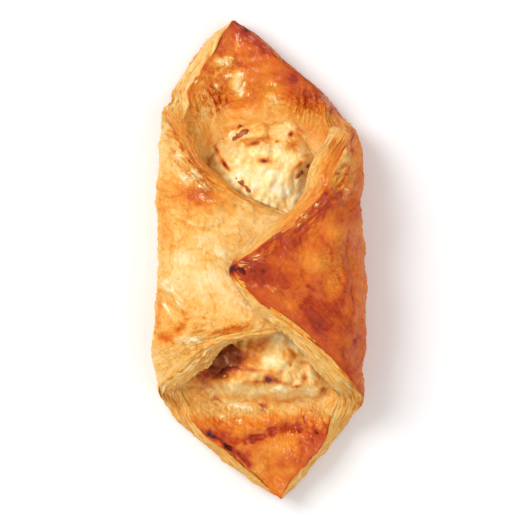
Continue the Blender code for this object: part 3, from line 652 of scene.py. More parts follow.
NORTH_BROWNING_AND_HIGHLIGHTS = (
    # The first two spots here and the spot at (4, 54.6) are painted highlights where the glazed blisters
    # catch the light.
    (-12.4, 66.6, 3.0, 1.5, 10, -0.26), (-7.6, 60.8, 1.6, 3.0, -15, -0.26), (-16, 50, 6, 8, 10, -0.24),
    (4, 54.6, 2.2, 1.4, 0, -0.06), (-5, 78, 5, 5, 0, 0.24), (2.4, 71.4, 4.4, 2.4, -38, 0.2),
    (10, 61, 9, 4, -40, 0.12), (-15, 66, 4, 6, 20, -0.02), (-14, 58, 4, 5, 20, 0.04),
    (-7.4, 58.4, 2.4, 3.6, 0, -0.2), (4.4, 56.4, 2.6, 2.6, 0, -0.12), (5, 52, 4, 3.4, 0, -0.2),
    (-1, 46.6, 9, 3.4, 0, -0.16), (-2.6, 48, 2.4, 1.2, 0, -0.16), (0, 46, 1.8, 2.2, 0, 0.1),
    (12, 46, 6, 4, 0, -0.12), (-20, 47, 3, 4, 20, -0.02), (21, 47, 4, 5, 0, 0.1),
    (20, 38, 3, 7, 0, -0.16), (-12, 70, 4, 4, 20, 0.04), (-18, 40, 3, 8, 10, -0.1),
    (-9, 52.6, 4, 2.4, 0, 0.06), (-5, 53, 5, 4, 0, 0.02), (14, 54, 5, 4, -40, 0.06),
)
SOUTH_BROWNING = (
    (-12, -50.4, 8, 3.2, 0, -0.18), (3, -48, 20, 4.0, 0, -0.32), (21.6, -49, 3.4, 4.4, 0, -0.24),
    (12, -51, 6, 2.6, 0, -0.04), (0, -54.4, 12, 2.4, 0, 0.02), (-1, -70, 2.8, 3.0, 0, -0.14),
    (5.6, -62.6, 6, 2.6, 15, -0.08), (9.6, -70.6, 2.6, 1.8, 0, -0.1), (19.6, -60, 3.2, 4, -30, 0.16),
    (6, -75, 4, 3, 0, 0.04), (16, -62, 4, 5, 0, 0.1), (-18, -46, 4, 4, 0, -0.04), (4, -52, 3, 2, 0, 0.12),
    (-15.4, -59.2, 3.6, 0.9, -28, 0.26), (-10, -63.2, 2.8, 0.9, -45, 0.26),
    (-6.6, -66, 1.6, 1.6, 0, 0.14),
)
BROWNING = {"west": WEST_BROWNING, "east": EAST_BROWNING_AND_PAINTED_LIGHT, "north": NORTH_BROWNING_AND_HIGHLIGHTS, "south": SOUTH_BROWNING}
# The same for the rolled upper edge of the east flap.
RIM_BROWNING = (
    (23.5, 50, 1.6, 1.2, 40, 0.26), (26.4, 45, 1.4, 2.2, 20, 0.26), (25.6, 37, 1.2, 3.0, 10, 0.24),
    (31, 41.5, 0.8, 2, 0, 0.3), (20.4, 43, 2, 4, 0, -0.14), (21.4, 29, 1.4, 3, -30, 0.2),
    (15.4, 21.6, 3, 1.2, 40, 0.2), (18, 26, 2.4, 1.2, 45, -0.12), (9, 14.4, 3, 1.2, 40, 0.14),
    (4, 9, 3, 1.2, 40, -0.1), (28, 30, 1.2, 3, -20, 0.18), (12, 19, 2, 1, 45, -0.1),
)
# Where the crust is finely wrinkled, as (x, y, half x, half y, angle, strength).
WRINKLED = {
    "west": (
        (-22, 33, 9, 5, -48, 1.0), (-19, 26, 6, 3, -40, 0.8), (-24, -29, 10, 4, 28, 1.0),
        (-8, -24, 9, 3, 12, 0.7), (-28, -16, 5, 9, 60, 0.6), (-31, 44, 3, 6, 0, 0.7),
        (-12, -1, 7, 3, -30, 0.5),
    ),
    "east": (
        (27, 29, 5, 10, 20, 1.0), (16, 15, 10, 3, 46, 1.0), (4, 2, 6, 3, 30, 0.9),
        (18, -16, 10, 3, -30, 0.5), (25, 0, 4, 9, 0, 0.5),
    ),
    "north": (
        (-16, 55, 6, 7, 0, 1.3), (17, 52, 7, 7, 0, 1.2), (-11, 66, 4, 3, 0, 0.7), (-7, 58, 4, 5, 0, 0.5),
        (-21, 46, 3, 6, 0, 0.6), (4, 56, 5, 5, 0, 0.4),
    ),
    "south": (
        (20, -53, 6, 5, 0, 0.9), (-14, -51, 7, 3.4, 0, 0.8), (0, -51, 8, 2, 0, 0.5),
    ),
}

# Browning without any spots: of each flap on top and on its side wall, of the outer skin by the two points,
# of the inner skin where it shows and where it is hidden, of the cheese and of the ham.
FLAP_BAKED = {"west": (0.29, 0.21), "east": (0.63, 0.55)}
POINT_BAKED = 0.46
CORNER_BAKED = 0.57
HIDDEN_BAKED = 0.24
CHEESE_BAKED = 0.16
HAM_BAKED = 0.30
# Where the inner skin grows paler towards the filling, from y to y in mm, and its browning there at most.
PALE_BY_FILLING = {"north": (56, 47, 0.38), "south": (-55.5, -50, 0.30)}
# Height in mm of the treads where skins have peeled.
TORN = {"west": 1.25, "east": 0.8, "north": 0.4, "south": 0.6}
# Heading of the fine folds in degrees, as (heading, turn, from, to): it turns between two places in mm,
# along y on the flaps and along x in the corners.
FOLD_TURNS = {
    "west": (-42, 68, 8, -22),
    "east": (47, -92, 8, -8),
    "north": (108, -30, -12, 12),
    "south": (94, -16, -12, 16),
}
WELL_BAKED = 0.80  # the most browning away from burnt spots
BURNT_FROM = 0.98  # where a summed browning starts to show as burnt
GROOVES = 7.5  # grooves across a cut face
LEAF_ROOT = 1.6 * MM  # how deep a leaf is rooted in the dough
LEAF_HALF_THICKNESS = 0.13 * MM

# Lumps of the cheese, as (x, y, half x, half y, angle, height) in mm and degrees.
CHEESE_LUMPS = (
    (-12.5, 38, 3.4, 3, 0, 1.3), (-4.5, 43, 4.0, 2.2, 10, 1.3), (4.6, 45.4, 4.5, 2.2, -5, 1.6),
    (10.4, 41, 3, 3.2, 0, 1.3), (14, 33, 3.4, 4, 30, 1.0), (-8, 33, 3.5, 3, 0, 0.9),
    (2, 31, 4, 3, 0, 1.0), (9, 27, 4, 3.2, 20, 0.9), (-3, 38, 3.5, 1.6, 20, 1.0),
    (4, 24, 4, 2.5, -30, 0.7), (0, 47.4, 2, 2.4, 0, 1.3), (-4, 48.4, 3, 1.2, 0, 1.0),
    (5.6, -33.6, 5.6, 3.4, 10, 2.2), (-7, -40, 5, 2.0, 10, 1.2), (4, -44, 8, 2.0, 0, 1.4),
    (14, -43, 4.5, 2, -10, 1.2), (21, -38, 2.4, 4.6, 20, 1.2), (-15, -44, 4, 2, 20, 1.1),
    (-3, -36.4, 4.4, 1.4, 12, 1.0), (13, -31, 4, 2.4, -20, 1.2), (18, -34, 2, 3, 30, 1.0),
    (-11, -47, 4, 1.6, 0, 0.9), (0, -47, 3, 1.4, 0, 0.8), (12, -47, 5, 1.6, 0, 0.5),
)
# Browned spots of the cheese, as (x, y, half x, half y, angle, strength), with golden rings round them, and
# painted shade in the hollow under the west flap's south lip.
CHEESE_BROWNING_AND_SHADE = (
    (-1.6, 39.2, 2.2, 0.9, 20, 0.50), (0.4, 41.4, 3.2, 0.9, 8, 0.32), (-2, 39.8, 4.2, 1.6, 18, 0.20),
    (-5, 40.6, 1.8, 0.7, 15, 0.3), (1.8, 32.7, 1.2, 0.6, -8, 0.52), (1.8, 32.9, 3.4, 1.7, -8, 0.34),
    (10.1, 42.7, 0.8, 0.9, 0, 0.8), (11.2, 38.6, 2.8, 2.4, 50, 0.34), (5.6, 40.1, 0.8, 0.6, 0, 0.6),
    (-3, 48.4, 2.4, 1.1, 0, 0.08), (-11.4, 40, 1.6, 1.2, 0, 0.16), (6, 48, 4, 1.6, 0, 0.1),
    (-9.5, 45.5, 3, 2, 30, 0.08), (13.5, 44, 3, 3, 0, 0.14), (-11.2, 31.3, 2.3, 0.7, -57, 0.75),
    (8.7, 44.2, 3.4, 1.8, 10, -0.24), (-6, 46, 2.1, 0.6, 40, 0.75), (-14.2, 36.6, 2.4, 0.6, -65, 0.5),
    (1.8, -39.4, 1.6, 1.4, -10, 0.72), (0, -40.6, 3.4, 0.7, 0, 0.36), (6.5, -40.4, 3.6, 0.9, -12, 0.42),
    (4.6, -38, 3, 1.6, 0, 0.2), (0.6, -49.2, 2.4, 0.8, 0, 0.3), (12.8, -41.6, 1.6, 0.5, 15, 0.5),
    (15.4, -38.6, 0.9, 1.6, -20, 0.4), (22.6, -43, 2.6, 0.9, -30, 0.34), (4, -43.6, 8, 2.4, 0, -0.03),
    # Painted shade: the next three spots darken the cheese in the hollow under the west flap's south lip.
    (-15.5, -37, 3.2, 7.4, -48, 0.50), (-9, -35, 6, 3.4, 20, 0.32), (-3, -29.6, 8, 3, 12, 0.22),
    (-5, -38, 5, 3, 0, 0.12), (12, -36, 6, 4, 0, 0.05), (-4, -36.6, 6, 0.7, -5, 0.22),
    (11, -31, 5, 0.6, -40, 0.26), (16, -33.6, 3, 0.5, 0, 0.3), (20, -36, 0.6, 3.4, 20, 0.3),
    (8, -47.4, 5, 1.0, 0, 0.12), (-9, -46.4, 3, 1, 0, 0.10), (3, -33.6, 3.4, 2.4, 0, -0.12),
    (0, 27, 12, 6, 0, -0.10), (6, 36, 4, 3, 0, -0.10), (-5, 34, 5, 3, 0, -0.05),
    (-10, 41.5, 2.4, 2, 0, -0.10), (14, 31, 1.8, 0.6, 40, 0.5), (16.4, 34, 1.4, 0.6, 40, 0.3),
)
# A hollow in the south opening, as (x, y, half x, half y, angle, depth), and the curds' (size, height, seed).
CHEESE_HOLLOW = (-14.5, -36.5, 3.8, 7, -45, 2.8)
CURD_SIZES = ((6.0, 0.9, 42), (2.8, 0.36, 43), (1.5, 0.10, 47))
# Where the cheese browns towards its ends, as (from y, to y, strength) in mm.
CHEESE_ENDS = ((18, 34, 0.10), (41.5, 46.5, 0.12), (-24, -30, 0.09), (-44, -48, 0.12))
# Each strip of ham: its browning, how far its long sides tip into and out of the cheese, and its waves,
# in mm.
HAM_LOOKS = {
    "ham_north_west": (0.22, 0.75, 0.6),
    "ham_north_east": (0.26, 0.7, 0.5),
    "ham_north_tip": (0.28, -1.2, 0.3),
    "ham_south_west": (0.46, -0.8, 0.8),
    "ham_south_east": (0.04, 0.3, 0.4),
}
# Of the strips in the north and in the south opening: how much of the curds' relief they follow, and how
# far they lie in the cheese in mm.
HAM_FOLLOWS = {"north": 1, "south": 0.35}
HAM_SUNK = {"north": 0.6, "south": 0.35}  # on top of how deep the under side lies
HAM_BODY = 1.0 * MM  # thickness of a strip in its middle
HAM_BURIED = 0.75 * MM  # how deep its under side lies in the cheese


# ---- Looks of the crust -------------------------------------------------------------------------------
def path_distance(x, y, points):
    """Distance in mm to a line through points in mm: the least distance to its straight runs."""
    x, y = x / MM, y / MM
    best = np.full(x.shape, 1e9)
    for (ax, ay), (bx, by) in zip(points, points[1:]):
        run, rise = bx - ax, by - ay
        share = np.clip(((x - ax) * run + (y - ay) * rise) / (run**2 + rise**2), 0, 1)
        best = np.minimum(best, np.hypot(x - ax - share * run, y - ay - share * rise))
    return best


def drawn(x, y, zone):
    """Browning and height in mm of the zone's drawn features, painted highlights and painted shade among
    them: a
    Gauss bell across each line, whose width and strength waver along it."""
    browning, height = np.zeros(x.shape), np.zeros(x.shape)
    for n, (width, brown, rise, points) in enumerate(MARKS[zone]):
        away = path_distance(x, y, points) + 0.45 * width * waves(x, y, 0, 2.6 * MM, 210 + n)
        bell = np.exp(-((away / width) ** 2)) * (0.75 + 0.35 * waves(x, y, 0, 4 * MM, 260 + n))
        browning, height = browning + brown * bell, height + rise * bell
    return browning, height


def folds_of(x, y, zone):
    """Coordinates across and along the fine folds, by a heading that changes over the zone."""
    heading, change, low, high = FOLD_TURNS[zone]
    turn = np.radians(heading + change * smooth(low * MM, high * MM, y if zone in ("west", "east") else x))
    return y * np.cos(turn) - x * np.sin(turn), x * np.cos(turn) + y * np.sin(turn)


def baked(level):
    """Browning held below scorched, except where the marks call for burnt spots."""
    return np.minimum(level, WELL_BAKED) + np.clip(level - BURNT_FROM, 0, 0.2)


def crust_relief(points, zone):
    """Height of the crust over the smooth skin: broad blisters, smaller ones, ragged treads where skins have
    peeled, ridged crumples where it is wrinkled, and the drawn features."""
    x, y, z = split(points)
    torn = TORN[zone]
    glazed = np.clip(1.4 * spots(x, y, [(*place, 1) for *place, _ in GLAZED[zone]]), 0, 1)
    slow = BLISTER_RELIEF * waves(x, y, z, 15 * MM, 21)
    small = (1 - 0.8 * glazed) * 0.34 * MM * fractal(points, 7 * MM, 61)
    tread, torn_edge = terraces(0.5 + 0.26 * fractal(points, 12 * MM, 71, 5), 4, 0.2)
    peel = (1 - 0.9 * glazed) * torn * MM * (tread - 0.5)
    across, along = folds_of(x, y, zone)
    wrinkled = np.clip(spots(x, y, WRINKLED[zone]), 0, 1.2)
    crumple = 1 - 2 * np.abs(waves(across, 0.3 * along, 0, 2.9 * MM, 83))
    crumple = crumple * smooth(10 * MM, 24 * MM, z + 24 * MM * (zone in ("north", "south")))
    browning, height = drawn(x, y, zone)
    # Darker along the rises between the treads: painted shade at the steps where skins have peeled.
    browning = browning + 0.07 * torn_edge * torn * (1 - glazed) - 0.05 * crumple * wrinkled
    small = small + 0.10 * MM * fractal(points, 1.7 * MM, 91, 2) * (1 - glazed)
    slow = slow + MM * (spots(x, y, BLISTERS[zone]) + spots(x, y, GLAZED[zone]))
    relief = slow + small + peel + 0.22 * MM * crumple * wrinkled + height * MM
    return relief, browning, 0.06 + wrinkled, glazed


def cut_ends(y, edge, inner_edge, curve, side):
    """The cut face on each row: its ends at the outer and the inner skin, and the unit direction out of
    it, which leans along the edge's slope over the rows."""
    start, end = outer_place(edge, y), inner_place(inner_edge, y)
    _, tangent, _ = skin_frame(edge, y)
    step = 0.5 * MM
    slope = (read_curve(curve, y + step) - read_curve(curve, y - step)) * MM / (2 * step)
    size = np.hypot(1, slope)
    outward = np.stack([side * tangent[0] / size, -slope / size, side * tangent[1] / size], axis=-1)
    return start, end, outward


def inner_edges(y):
    """Wrap distances of the inner skin's west and east edges, set off from the outer ones by the slant."""
    west, east = edges(y)
    most = 0.3 * (east - west)
    return (
        west + np.clip(read_curve(WEST_SLANT, y) * MM, -most, most),
        east - np.clip(read_curve(EAST_SLANT, y) * MM, -most, most),
    )


def cut_surface(share, y, side):
    """Points across a cut face at shares from the outer skin to the inner one, bulged by a parabola."""
    west, east = edges(y)
    west_inner, east_inner = inner_edges(y)
    if side > 0:
        start, end, outward = cut_ends(y, east, east_inner, EAST_EDGE, 1)
    else:
        start, end, outward = cut_ends(y, west, west_inner, WEST_EDGE, -1)
    bulge = 1.1 * MM * 4 * share * (1 - share) * smooth(0, 5 * MM, HALF_LENGTH - np.abs(y))
    across = end - start
    across = across / np.maximum(np.linalg.norm(across, axis=-1, keepdims=True), 1e-9)
    return start + (end - start) * share[..., None] + outward * bulge[..., None], outward, across


def skin_limits(name, y):
    """Wrap distances between which a fine skin lies on the row at y."""
    west, east = edges(y)
    west_inner, east_inner = inner_edges(y)
    low, high = {
        "west_flap_skin": (west + SKIN_RIM, -38 * MM + 0 * west),
        "east_flap_skin": (36 * MM + 0 * east, east - SKIN_RIM),
    }.get(name, (np.maximum(west_inner + SKIN_RIM, -44 * MM), np.minimum(east_inner - SKIN_RIM, 44 * MM)))
    return low, np.maximum(high, low + 0.3 * MM)


def inside_skin(name, south, north, p, y):
    """Distance inwards from the border of a fine skin, negative outside it."""
    low, high = skin_limits(name, y)
    return np.minimum(np.minimum(p - low, high - p), np.minimum(y - south * MM, north * MM - y))


def covered(face, p, y):
    """1 where a fine skin hides that face of the crust, 0 outside."""
    return sum(smooth(1.0 * MM, 2.2 * MM, inside_skin(name, south, north, p, y))
               for name, side, south, north, _, _ in FINE_SKINS if side == face)


def outer_look(points, p, y):
    """Relief and fields of the outer skin. The west flap is smooth where the east flap hides it."""
    west, east = edges(y)
    x, row_y, z = split(points)
    relief, fields = np.zeros(x.shape), {key: np.zeros(x.shape) for key in CRUST_FIELDS}
    hidden = smooth(-62 * MM, -70 * MM, p) * smooth(20 * MM, 8 * MM, np.abs(y)) * smooth(2 * MM, 8 * MM, x)
    easterly = smooth(-2 * MM, 2 * MM, p)
    from_east, from_west = (east - p) / MM, (p - west) / MM
    on_top = smooth(12 * MM, 25 * MM, z)
    corner = smooth(44 * MM, 54 * MM, np.abs(y))
    lower_edge = smooth(0, -6 * MM, row_y)
    for zone, share_here in (("west", 1 - easterly), ("east", easterly)):
        base, side_base = FLAP_BAKED[zone]
        height, brown, crease, glazed = crust_relief(points, zone)
        relief += share_here * height * (1 - 0.9 * hidden)
        top = base + spots(x, row_y, BROWNING[zone]) + brown
        if zone == "east":
            top = top + 0.05 * lower_edge * np.exp(-((from_east / 5) ** 2))
            top = top + 0.08 * np.exp(-((from_east / 1.3) ** 2))
        else:
            top = top + 0.10 * np.exp(-((from_west / 1.3) ** 2)) * smooth(14 * MM, 20 * MM, row_y)
        climb = top - side_base - 0.5 * brown
        level = (side_base + 0.5 * brown + climb * on_top) * (1 - corner) + POINT_BAKED * corner
        wetness = 0.2 * on_top * (1 - corner) + 0 * x
        if zone == "west":
            wetness = wetness * (0.15 + 0.85 * smooth(12 * MM, 19 * MM, row_y))
        across, along = folds_of(x, row_y, zone)
        given = {
            "bake": baked(level),
            "crease": crease,
            "across": across,
            "along": along,
            "wet": np.maximum(wetness, glazed * on_top),
        }
        for key, field in given.items():
            fields[key] += share_here * field
    fields["bake"] += 0.08 * smooth(4 * MM, 0, z)
    return relief, fields


def inner_look(points, p, y):
    """Relief and fields of the inner skin, which shows in the two open corners."""
    west_inner, east_inner = inner_edges(y)
    x, row_y, _ = split(points)
    relief, fields = np.zeros(x.shape), {key: np.zeros(x.shape) for key in CRUST_FIELDS}
    northern = smooth(-5 * MM, 5 * MM, y)
    shown = smooth(34 * MM, 40 * MM, np.abs(y)) * smooth(56 * MM, 44 * MM, np.abs(p))
    from_rim = np.minimum(east_inner - p, p - west_inner) / MM
    for zone, share_here in (("north", northern), ("south", 1 - northern)):
        height, brown, crease, glazed = crust_relief(points, zone)
        relief += share_here * height * shown
        level = CORNER_BAKED + spots(x, row_y, BROWNING[zone]) + brown
        level = level + 0.06 * np.exp(-((from_rim / 1.2) ** 2))
        pale_from, pale_at, palest = PALE_BY_FILLING[zone]
        near_filling = smooth(pale_from * MM, pale_at * MM, row_y)
        level = level + (np.minimum(level, palest) - level) * 0.75 * near_filling
        across, along = folds_of(x, row_y, zone)
        given = {
            "bake": HIDDEN_BAKED + (baked(level) - HIDDEN_BAKED) * shown,
            "crease": crease,
            "across": across,
            "along": along,
            "wet": shown * np.maximum(0.3, glazed),
        }
        for key, field in given.items():
            fields[key] += share_here * field
    return relief, fields


# ---- Pieces -------------------------------------------------------------------------------------------
def dough():
    """The whole sheet as loops: outer skin from west to east, east cut face, inner skin back, west cut face.
    Gives the points and the fields that the crust's material reads."""
    y = row_places(ROWS)[:, None]
    west, east = edges(y)
    west_inner, east_inner = inner_edges(y)
    skin_p = full_run(west, east, SKIN_STEPS)
    inner_p = full_run(west_inner, east_inner, INNER_STEPS)[:, ::-1]
    share = np.linspace(0, 1, CUT_POINTS + 2)[None, 1:-1] + 0 * y
    skin, inner = outer_place(skin_p, y), inner_place(inner_p, y)
    east_cut = cut_surface(share, y, 1)[0]
    west_cut = cut_surface(share, y, -1)[0][:, ::-1]
    points = stand(np.concatenate([skin, east_cut, inner, west_cut], axis=1))
    normal = grid_normals(points)
    counts = [skin_p.shape[1], CUT_POINTS, inner_p.shape[1], CUT_POINTS]
    starts, ends = np.cumsum([0, *counts]), np.cumsum(counts)
    at_skin, at_east, at_inner, at_west = (slice(start, end) for start, end in zip(starts, ends))
    off_tray = smooth(0.6 * MM, 6 * MM, points[..., 2])

    fields = {key: np.zeros(points.shape[:2]) for key in CRUST_FIELDS}
    relief = np.zeros(points.shape[:2])

    for part, look, p in ((at_skin, outer_look, skin_p), (at_inner, inner_look, inner_p)):
        relief[:, part], given = look(points[:, part], p, y)
        relief[:, part] -= SKIN_SINK * covered("outer" if look is outer_look else "inner", p, y)
        for key, field in given.items():
            fields[key][:, part] = field

    # The cut faces: grooves between the layers. The east flap's upper edge and the north point's east
    # edge are rolled over and browned like the crust.
    for part, side, seed in ((at_east, 1, 31), (at_west, -1, 32)):
        face = points[:, part]
        x, row_y, z = split(face)
        ordered = share if side > 0 else share[:, ::-1]
        level, rolled = cut_browning(ordered, y, side)
        phase = 0.6 * waves(x, row_y, z * 0.2, 12 * MM, seed)
        teeth = np.abs((ordered * GROOVES + phase) % 1 * 2 - 1)
        ragged = fractal(face, 3.2 * MM, seed + 50, 3)
        slow = waves(x, row_y, z, 12 * MM, seed + 9)
        relief[:, part] = (1 - 0.65 * rolled) * 0.32 * MM * (teeth - 0.6) + (0.26 * ragged + 0.50 * slow) * MM
        # Darker in the grooves between the layers: brown lines of the layers, and painted shade in the
        # grooves.
        level = level + 0.10 * (1 - teeth) * (1 - rolled)
        level = level + spots(x, row_y, RIM_BROWNING) * rolled
        across, along = folds_of(x, row_y, "east")
        given = {
            "bake": level,
            "share": ordered,
            "cut": 1 - 0.75 * rolled,
            "wet": 0.6 * rolled,
            "crease": 0.6 * rolled,
            "across": across,
            "along": along,
        }
        for key, field in given.items():
            fields[key][:, part] = field
    relief *= off_tray * smooth(0, 3 * MM, HALF_LENGTH - np.abs(y))
    points = points + normal * relief[..., None]
    points[..., 2] = np.maximum(points[..., 2], 0)
    return points, fields


def fine_skin(name, face, south, north, rows, columns):
    """A finer skin over the crust, as loops: its upper side from west to east and its under side back,
    inside the dough. It lies a hair above the crust's surface and dives under it along its border."""
    y = np.linspace(south, north, rows)[:, None] * MM
    low, high = skin_limits(name, y)
    p = low + (high - low) * np.linspace(0, 1, columns)
    place, look = (outer_place, outer_look) if face == "outer" else (inner_place, inner_look)
    points = stand(place(p, y))
    normal = np.cross(np.gradient(points, axis=0), np.gradient(points, axis=1))
    normal /= np.linalg.norm(normal, axis=-1, keepdims=True)
    if face == "inner":
        normal = -normal
    relief, fields = look(points, p, y)
    border = smooth(0, 1.0 * MM, inside_skin(name, south, north, p, y))
    upper = points + normal * (relief + SKIN_LIFT - SKIN_DIVE * (1 - border))[..., None]
    lower = (points - normal * SKIN_DEPTH)[:, ::-5]
    fields = {key: np.concatenate([field, field[:, ::-5]], axis=1) for key, field in fields.items()}
    return np.concatenate([upper, lower], axis=1), fields


def cut_browning(share, y, side):
    """Browning of a cut face, and how far it is rolled over like crust, from 0 to 1."""
    if side > 0:
        north_point = smooth(42 * MM, 50 * MM, y)
        flap_top = smooth(-6 * MM, 2 * MM, y) * (1 - north_point)
        south_point = smooth(-40 * MM, -50 * MM, y)
        rest = 1 - north_point - flap_top - south_point
        near_tip = smooth(16 * MM, 2 * MM, y)
        level = north_point * (0.62 + 0.14 * smooth(66 * MM, 78 * MM, y))
        level = level + flap_top * (0.47 - 0.22 * share - 0.14 * near_tip)
        level = level + rest * (0.24 + 0.18 * np.exp(-((share / 0.06) ** 2)))
        level = level + south_point * (0.24 + 0.08 * (1 - share))
        rolled = 0.9 * north_point + 0.85 * flap_top * (0.7 + 0.3 * smooth(0.3, 0.7, share))
        tip = np.exp(-(((y + 2.4 * MM) / (2.6 * MM)) ** 2))
        level, rolled = level + (0.86 - level) * tip, rolled + (1 - rolled) * tip
    else:
        north_point = smooth(46 * MM, 52 * MM, y)
        flap_top = smooth(12 * MM, 18 * MM, y) * (1 - north_point)
        south_point = smooth(-40 * MM, -52 * MM, y)
        rest = 1 - north_point - flap_top - south_point
        level = north_point * 0.16 + flap_top * (0.42 - 0.10 * smooth(26 * MM, 18 * MM, y))
        level = level + rest * 0.23 + south_point * 0.29
        rolled = 0.5 * flap_top
    return level + 0 * share, np.clip(rolled, 0, 1) + 0 * share


def crust_fields(bake, **given):
    """All fields that the crust's material reads, with zeros for those not given."""
    return {key: given.get(key, 0 * bake) for key in CRUST_FIELDS} | {"bake": bake}


def leaf(side, number, count):
    """One laminated leaf that stands out of a cut face along its whole length. Its section is a flat tongue
    from a root in the dough to a ragged tip, as thick as the root of the sine of the angle round it."""
    y = row_places(LEAF_ROWS)[:, None]
    seed = 500 + 20 * number + (side > 0)
    wander = waves(0, y, 0, 21 * MM, seed)
    share = np.clip((number + 0.5 + 0.3 * wander) / count, 0.02, 0.98)
    south_point = smooth(-46 * MM, -52 * MM, y)
    share = 0.5 + (share - 0.5) * (1 - 0.85 * south_point)
    middle, outward, across = cut_surface(share, y, side)
    ragged = 0.55 * waves(0, y, 0, 9 * MM, seed + 1) + 0.45 * waves(0, y, 0, 3.2 * MM, seed + 2)
    ragged = ragged + 0.35 * waves(0, y, 0, 1.3 * MM, seed + 3)
    taper = smooth(0, 6 * MM, HALF_LENGTH - np.abs(y))
    level, rolled = cut_browning(share, y, side)
    reach = (0.15 + 0.62 * np.clip(0.3 + ragged, 0, 1.7)) * MM * taper * (1 - 0.8 * rolled)
    lip = smooth(-16 * MM, -24 * MM, y) * smooth(-42 * MM, -36 * MM, y) * (side < 0) * (number == count - 1)
    corner = smooth(-46 * MM, -52 * MM, y) * (number > count - 3)
    reach = reach * (1 + 1.6 * lip) * (1 - corner) * (1 - 0.9 * south_point)
    angle = np.linspace(0, 2 * np.pi, LEAF_RING, endpoint=False)[None, :]
    out_share = (1 + np.cos(angle)) / 2
    along = -LEAF_ROOT + (reach + LEAF_ROOT) * out_share
    half = LEAF_HALF_THICKNESS * (1 + 0.3 * waves(0, y, 0, 6 * MM, seed + 4))
    half = half * np.sign(np.sin(angle)) * np.sqrt(np.abs(np.sin(angle)))
    curl = 0.3 * MM * waves(0, y, 0, 7 * MM, seed + 5) * np.clip(along / MM, 0, None) ** 1.5 * taper
    points = middle + outward * along[..., None] + across * (half + curl)[..., None]
    points = stand(points)
    points[..., 2] = np.maximum(points[..., 2], 0.05 * MM)
    tip = smooth(0.5, 1.0, out_share)
    toasted = 0.5 + 0.5 * waves(0, y, 0, 6 * MM, seed + 6)
    bake = level + (0.10 if number == 0 else 0.0) + 0.14 * tip * toasted
    dry, gloss = 1 - 0.7 * rolled + 0 * bake, 0.4 * rolled + 0 * bake
    return points, crust_fields(bake, share=share + 0 * angle, cut=dry, wet=gloss)


def cheese_rise(x, y):
    """Height of the curds over the solid's crown: placed lumps, three sizes of rounded curds with sharp
    creases between them, and folds in the south opening."""
    lumps = sum(height * MM * spot(x, y, *place) ** 0.7 for *place, height in CHEESE_LUMPS)
    curds = sum(
        height * MM * (np.abs(waves(x, y, 0, length * MM, seed)) - 0.5) for length, height, seed in CURD_SIZES
    )
    folds = 0.45 * MM * (1 - 2 * np.abs(np.sin(y / (2.3 * MM) + 1.8 * waves(x, y, 0, 13 * MM, 44))))
    folds = folds * smooth(-20 * MM, -28 * MM, y)
    *place, depth = CHEESE_HOLLOW
    hollow = depth * MM * spot(x, y, *place)
    return lumps + curds + folds - hollow - 0.3 * MM, lumps


def cheese():
    """The filling as loops: along the dough from west to east, and back over the cheese. Its height is the
    solid's crown with curds on it; past the crown's foot a thin ragged skirt runs out over the dough."""
    turn = np.linspace(0, np.pi, FILLING_ROWS)
    south, north = FILLING_SOUTH - SKIRT_REACH, FILLING_NORTH + SKIRT_REACH
    y = south + (north - south) * (1 - np.cos(turn)) / 2
    shrunk = y * np.where(y > 0, FILLING_NORTH / north, FILLING_SOUTH / south)
    middle, half = filling_plan(shrunk)
    half = np.maximum(half * 1.05 + 1.4 * MM * smooth(4 * MM, 14 * MM, half), 1.2 * MM)
    ragged = 0.6 * waves(0, y, 0, 6 * MM, 53) + 0.4 * waves(0, y, 0, 2.2 * MM, 54)
    half = half * (1 + 0.06 * ragged)
    q = np.sin(np.linspace(-np.pi / 2, np.pi / 2, FILLING_POINTS))
    x = middle[:, None] + half[:, None] * q
    row_y = y[:, None] + 1.6 * MM * waves(x, 0, 0, 7 * MM, 55) * smooth(30 * MM, 44 * MM, np.abs(y))[:, None]
    flat = np.stack([x, row_y, 0 * x], axis=-1)
    floor = floor_height(x, y)
    away = np.minimum((1 - np.abs(q))[None, :] * half[:, None], np.minimum(y - south, north - y)[:, None])
    soft = 3.4 + 4.5 * smooth(-40 * MM, -48 * MM, y)[:, None] + 4 * smooth(34 * MM, 44 * MM, y)[:, None]
    border = smooth(0, soft * MM, away)
    rise, lumps = cheese_rise(x, row_y)
    inside = smooth(0.8 * MM, 7 * MM, away)
    crown = filling_top(x, y)
    grain = 0.5 * fractal(flat, 2.4 * MM, 45, 2)
    skirt = floor + (0.7 + 0.5 * grain) * MM + np.clip(rise, -0.6 * MM, 0.5 * MM)
    high = np.maximum(crown + rise, skirt) * inside + np.maximum(crown - 0.3 * MM, skirt) * (1 - inside)
    kept = 1 - 0.42 * smooth(35 * MM, 46 * MM, row_y) - 0.35 * smooth(-40 * MM, -47 * MM, row_y)
    high = floor + (high - floor) * kept
    high = high + (floor - RIM_DEPTH - high) * (1 - border) ** 1.6
    high = np.minimum(high, roof_height(x, y) - ROOF_GAP)
    low = floor - SKIRT_DEPTH
    high = np.maximum(high, low + 0.2 * MM)
    bottom = np.stack([x, row_y, low], axis=-1)[:, ::4]
    top = np.stack([x, row_y, high], axis=-1)[:, ::-1]
    browned = np.clip(spots(x, row_y, CHEESE_BROWNING_AND_SHADE), -0.2, 1)
    edge = 1 - smooth(0.3 * MM, 4.0 * MM, away)
    ends = sum(strength * smooth(start * MM, end * MM, row_y) for start, end, strength in CHEESE_ENDS)
    bake = CHEESE_BAKED + browned + 0.04 * smooth(0.4, 1.4, lumps / MM) + edge * 0.14 + ends
    bake = bake + 0.05 * fractal(flat, 5 * MM, 46)
    # Painted shade: darker where the curds dip into creases and into the hollow.
    bake = bake + 0.20 * np.clip(-rise / MM, 0, 0.8)
    fields = {"bake": np.concatenate([bake[:, ::4], bake[:, ::-1]], axis=1)}
    return stand(np.concatenate([bottom, top], axis=1)), fields


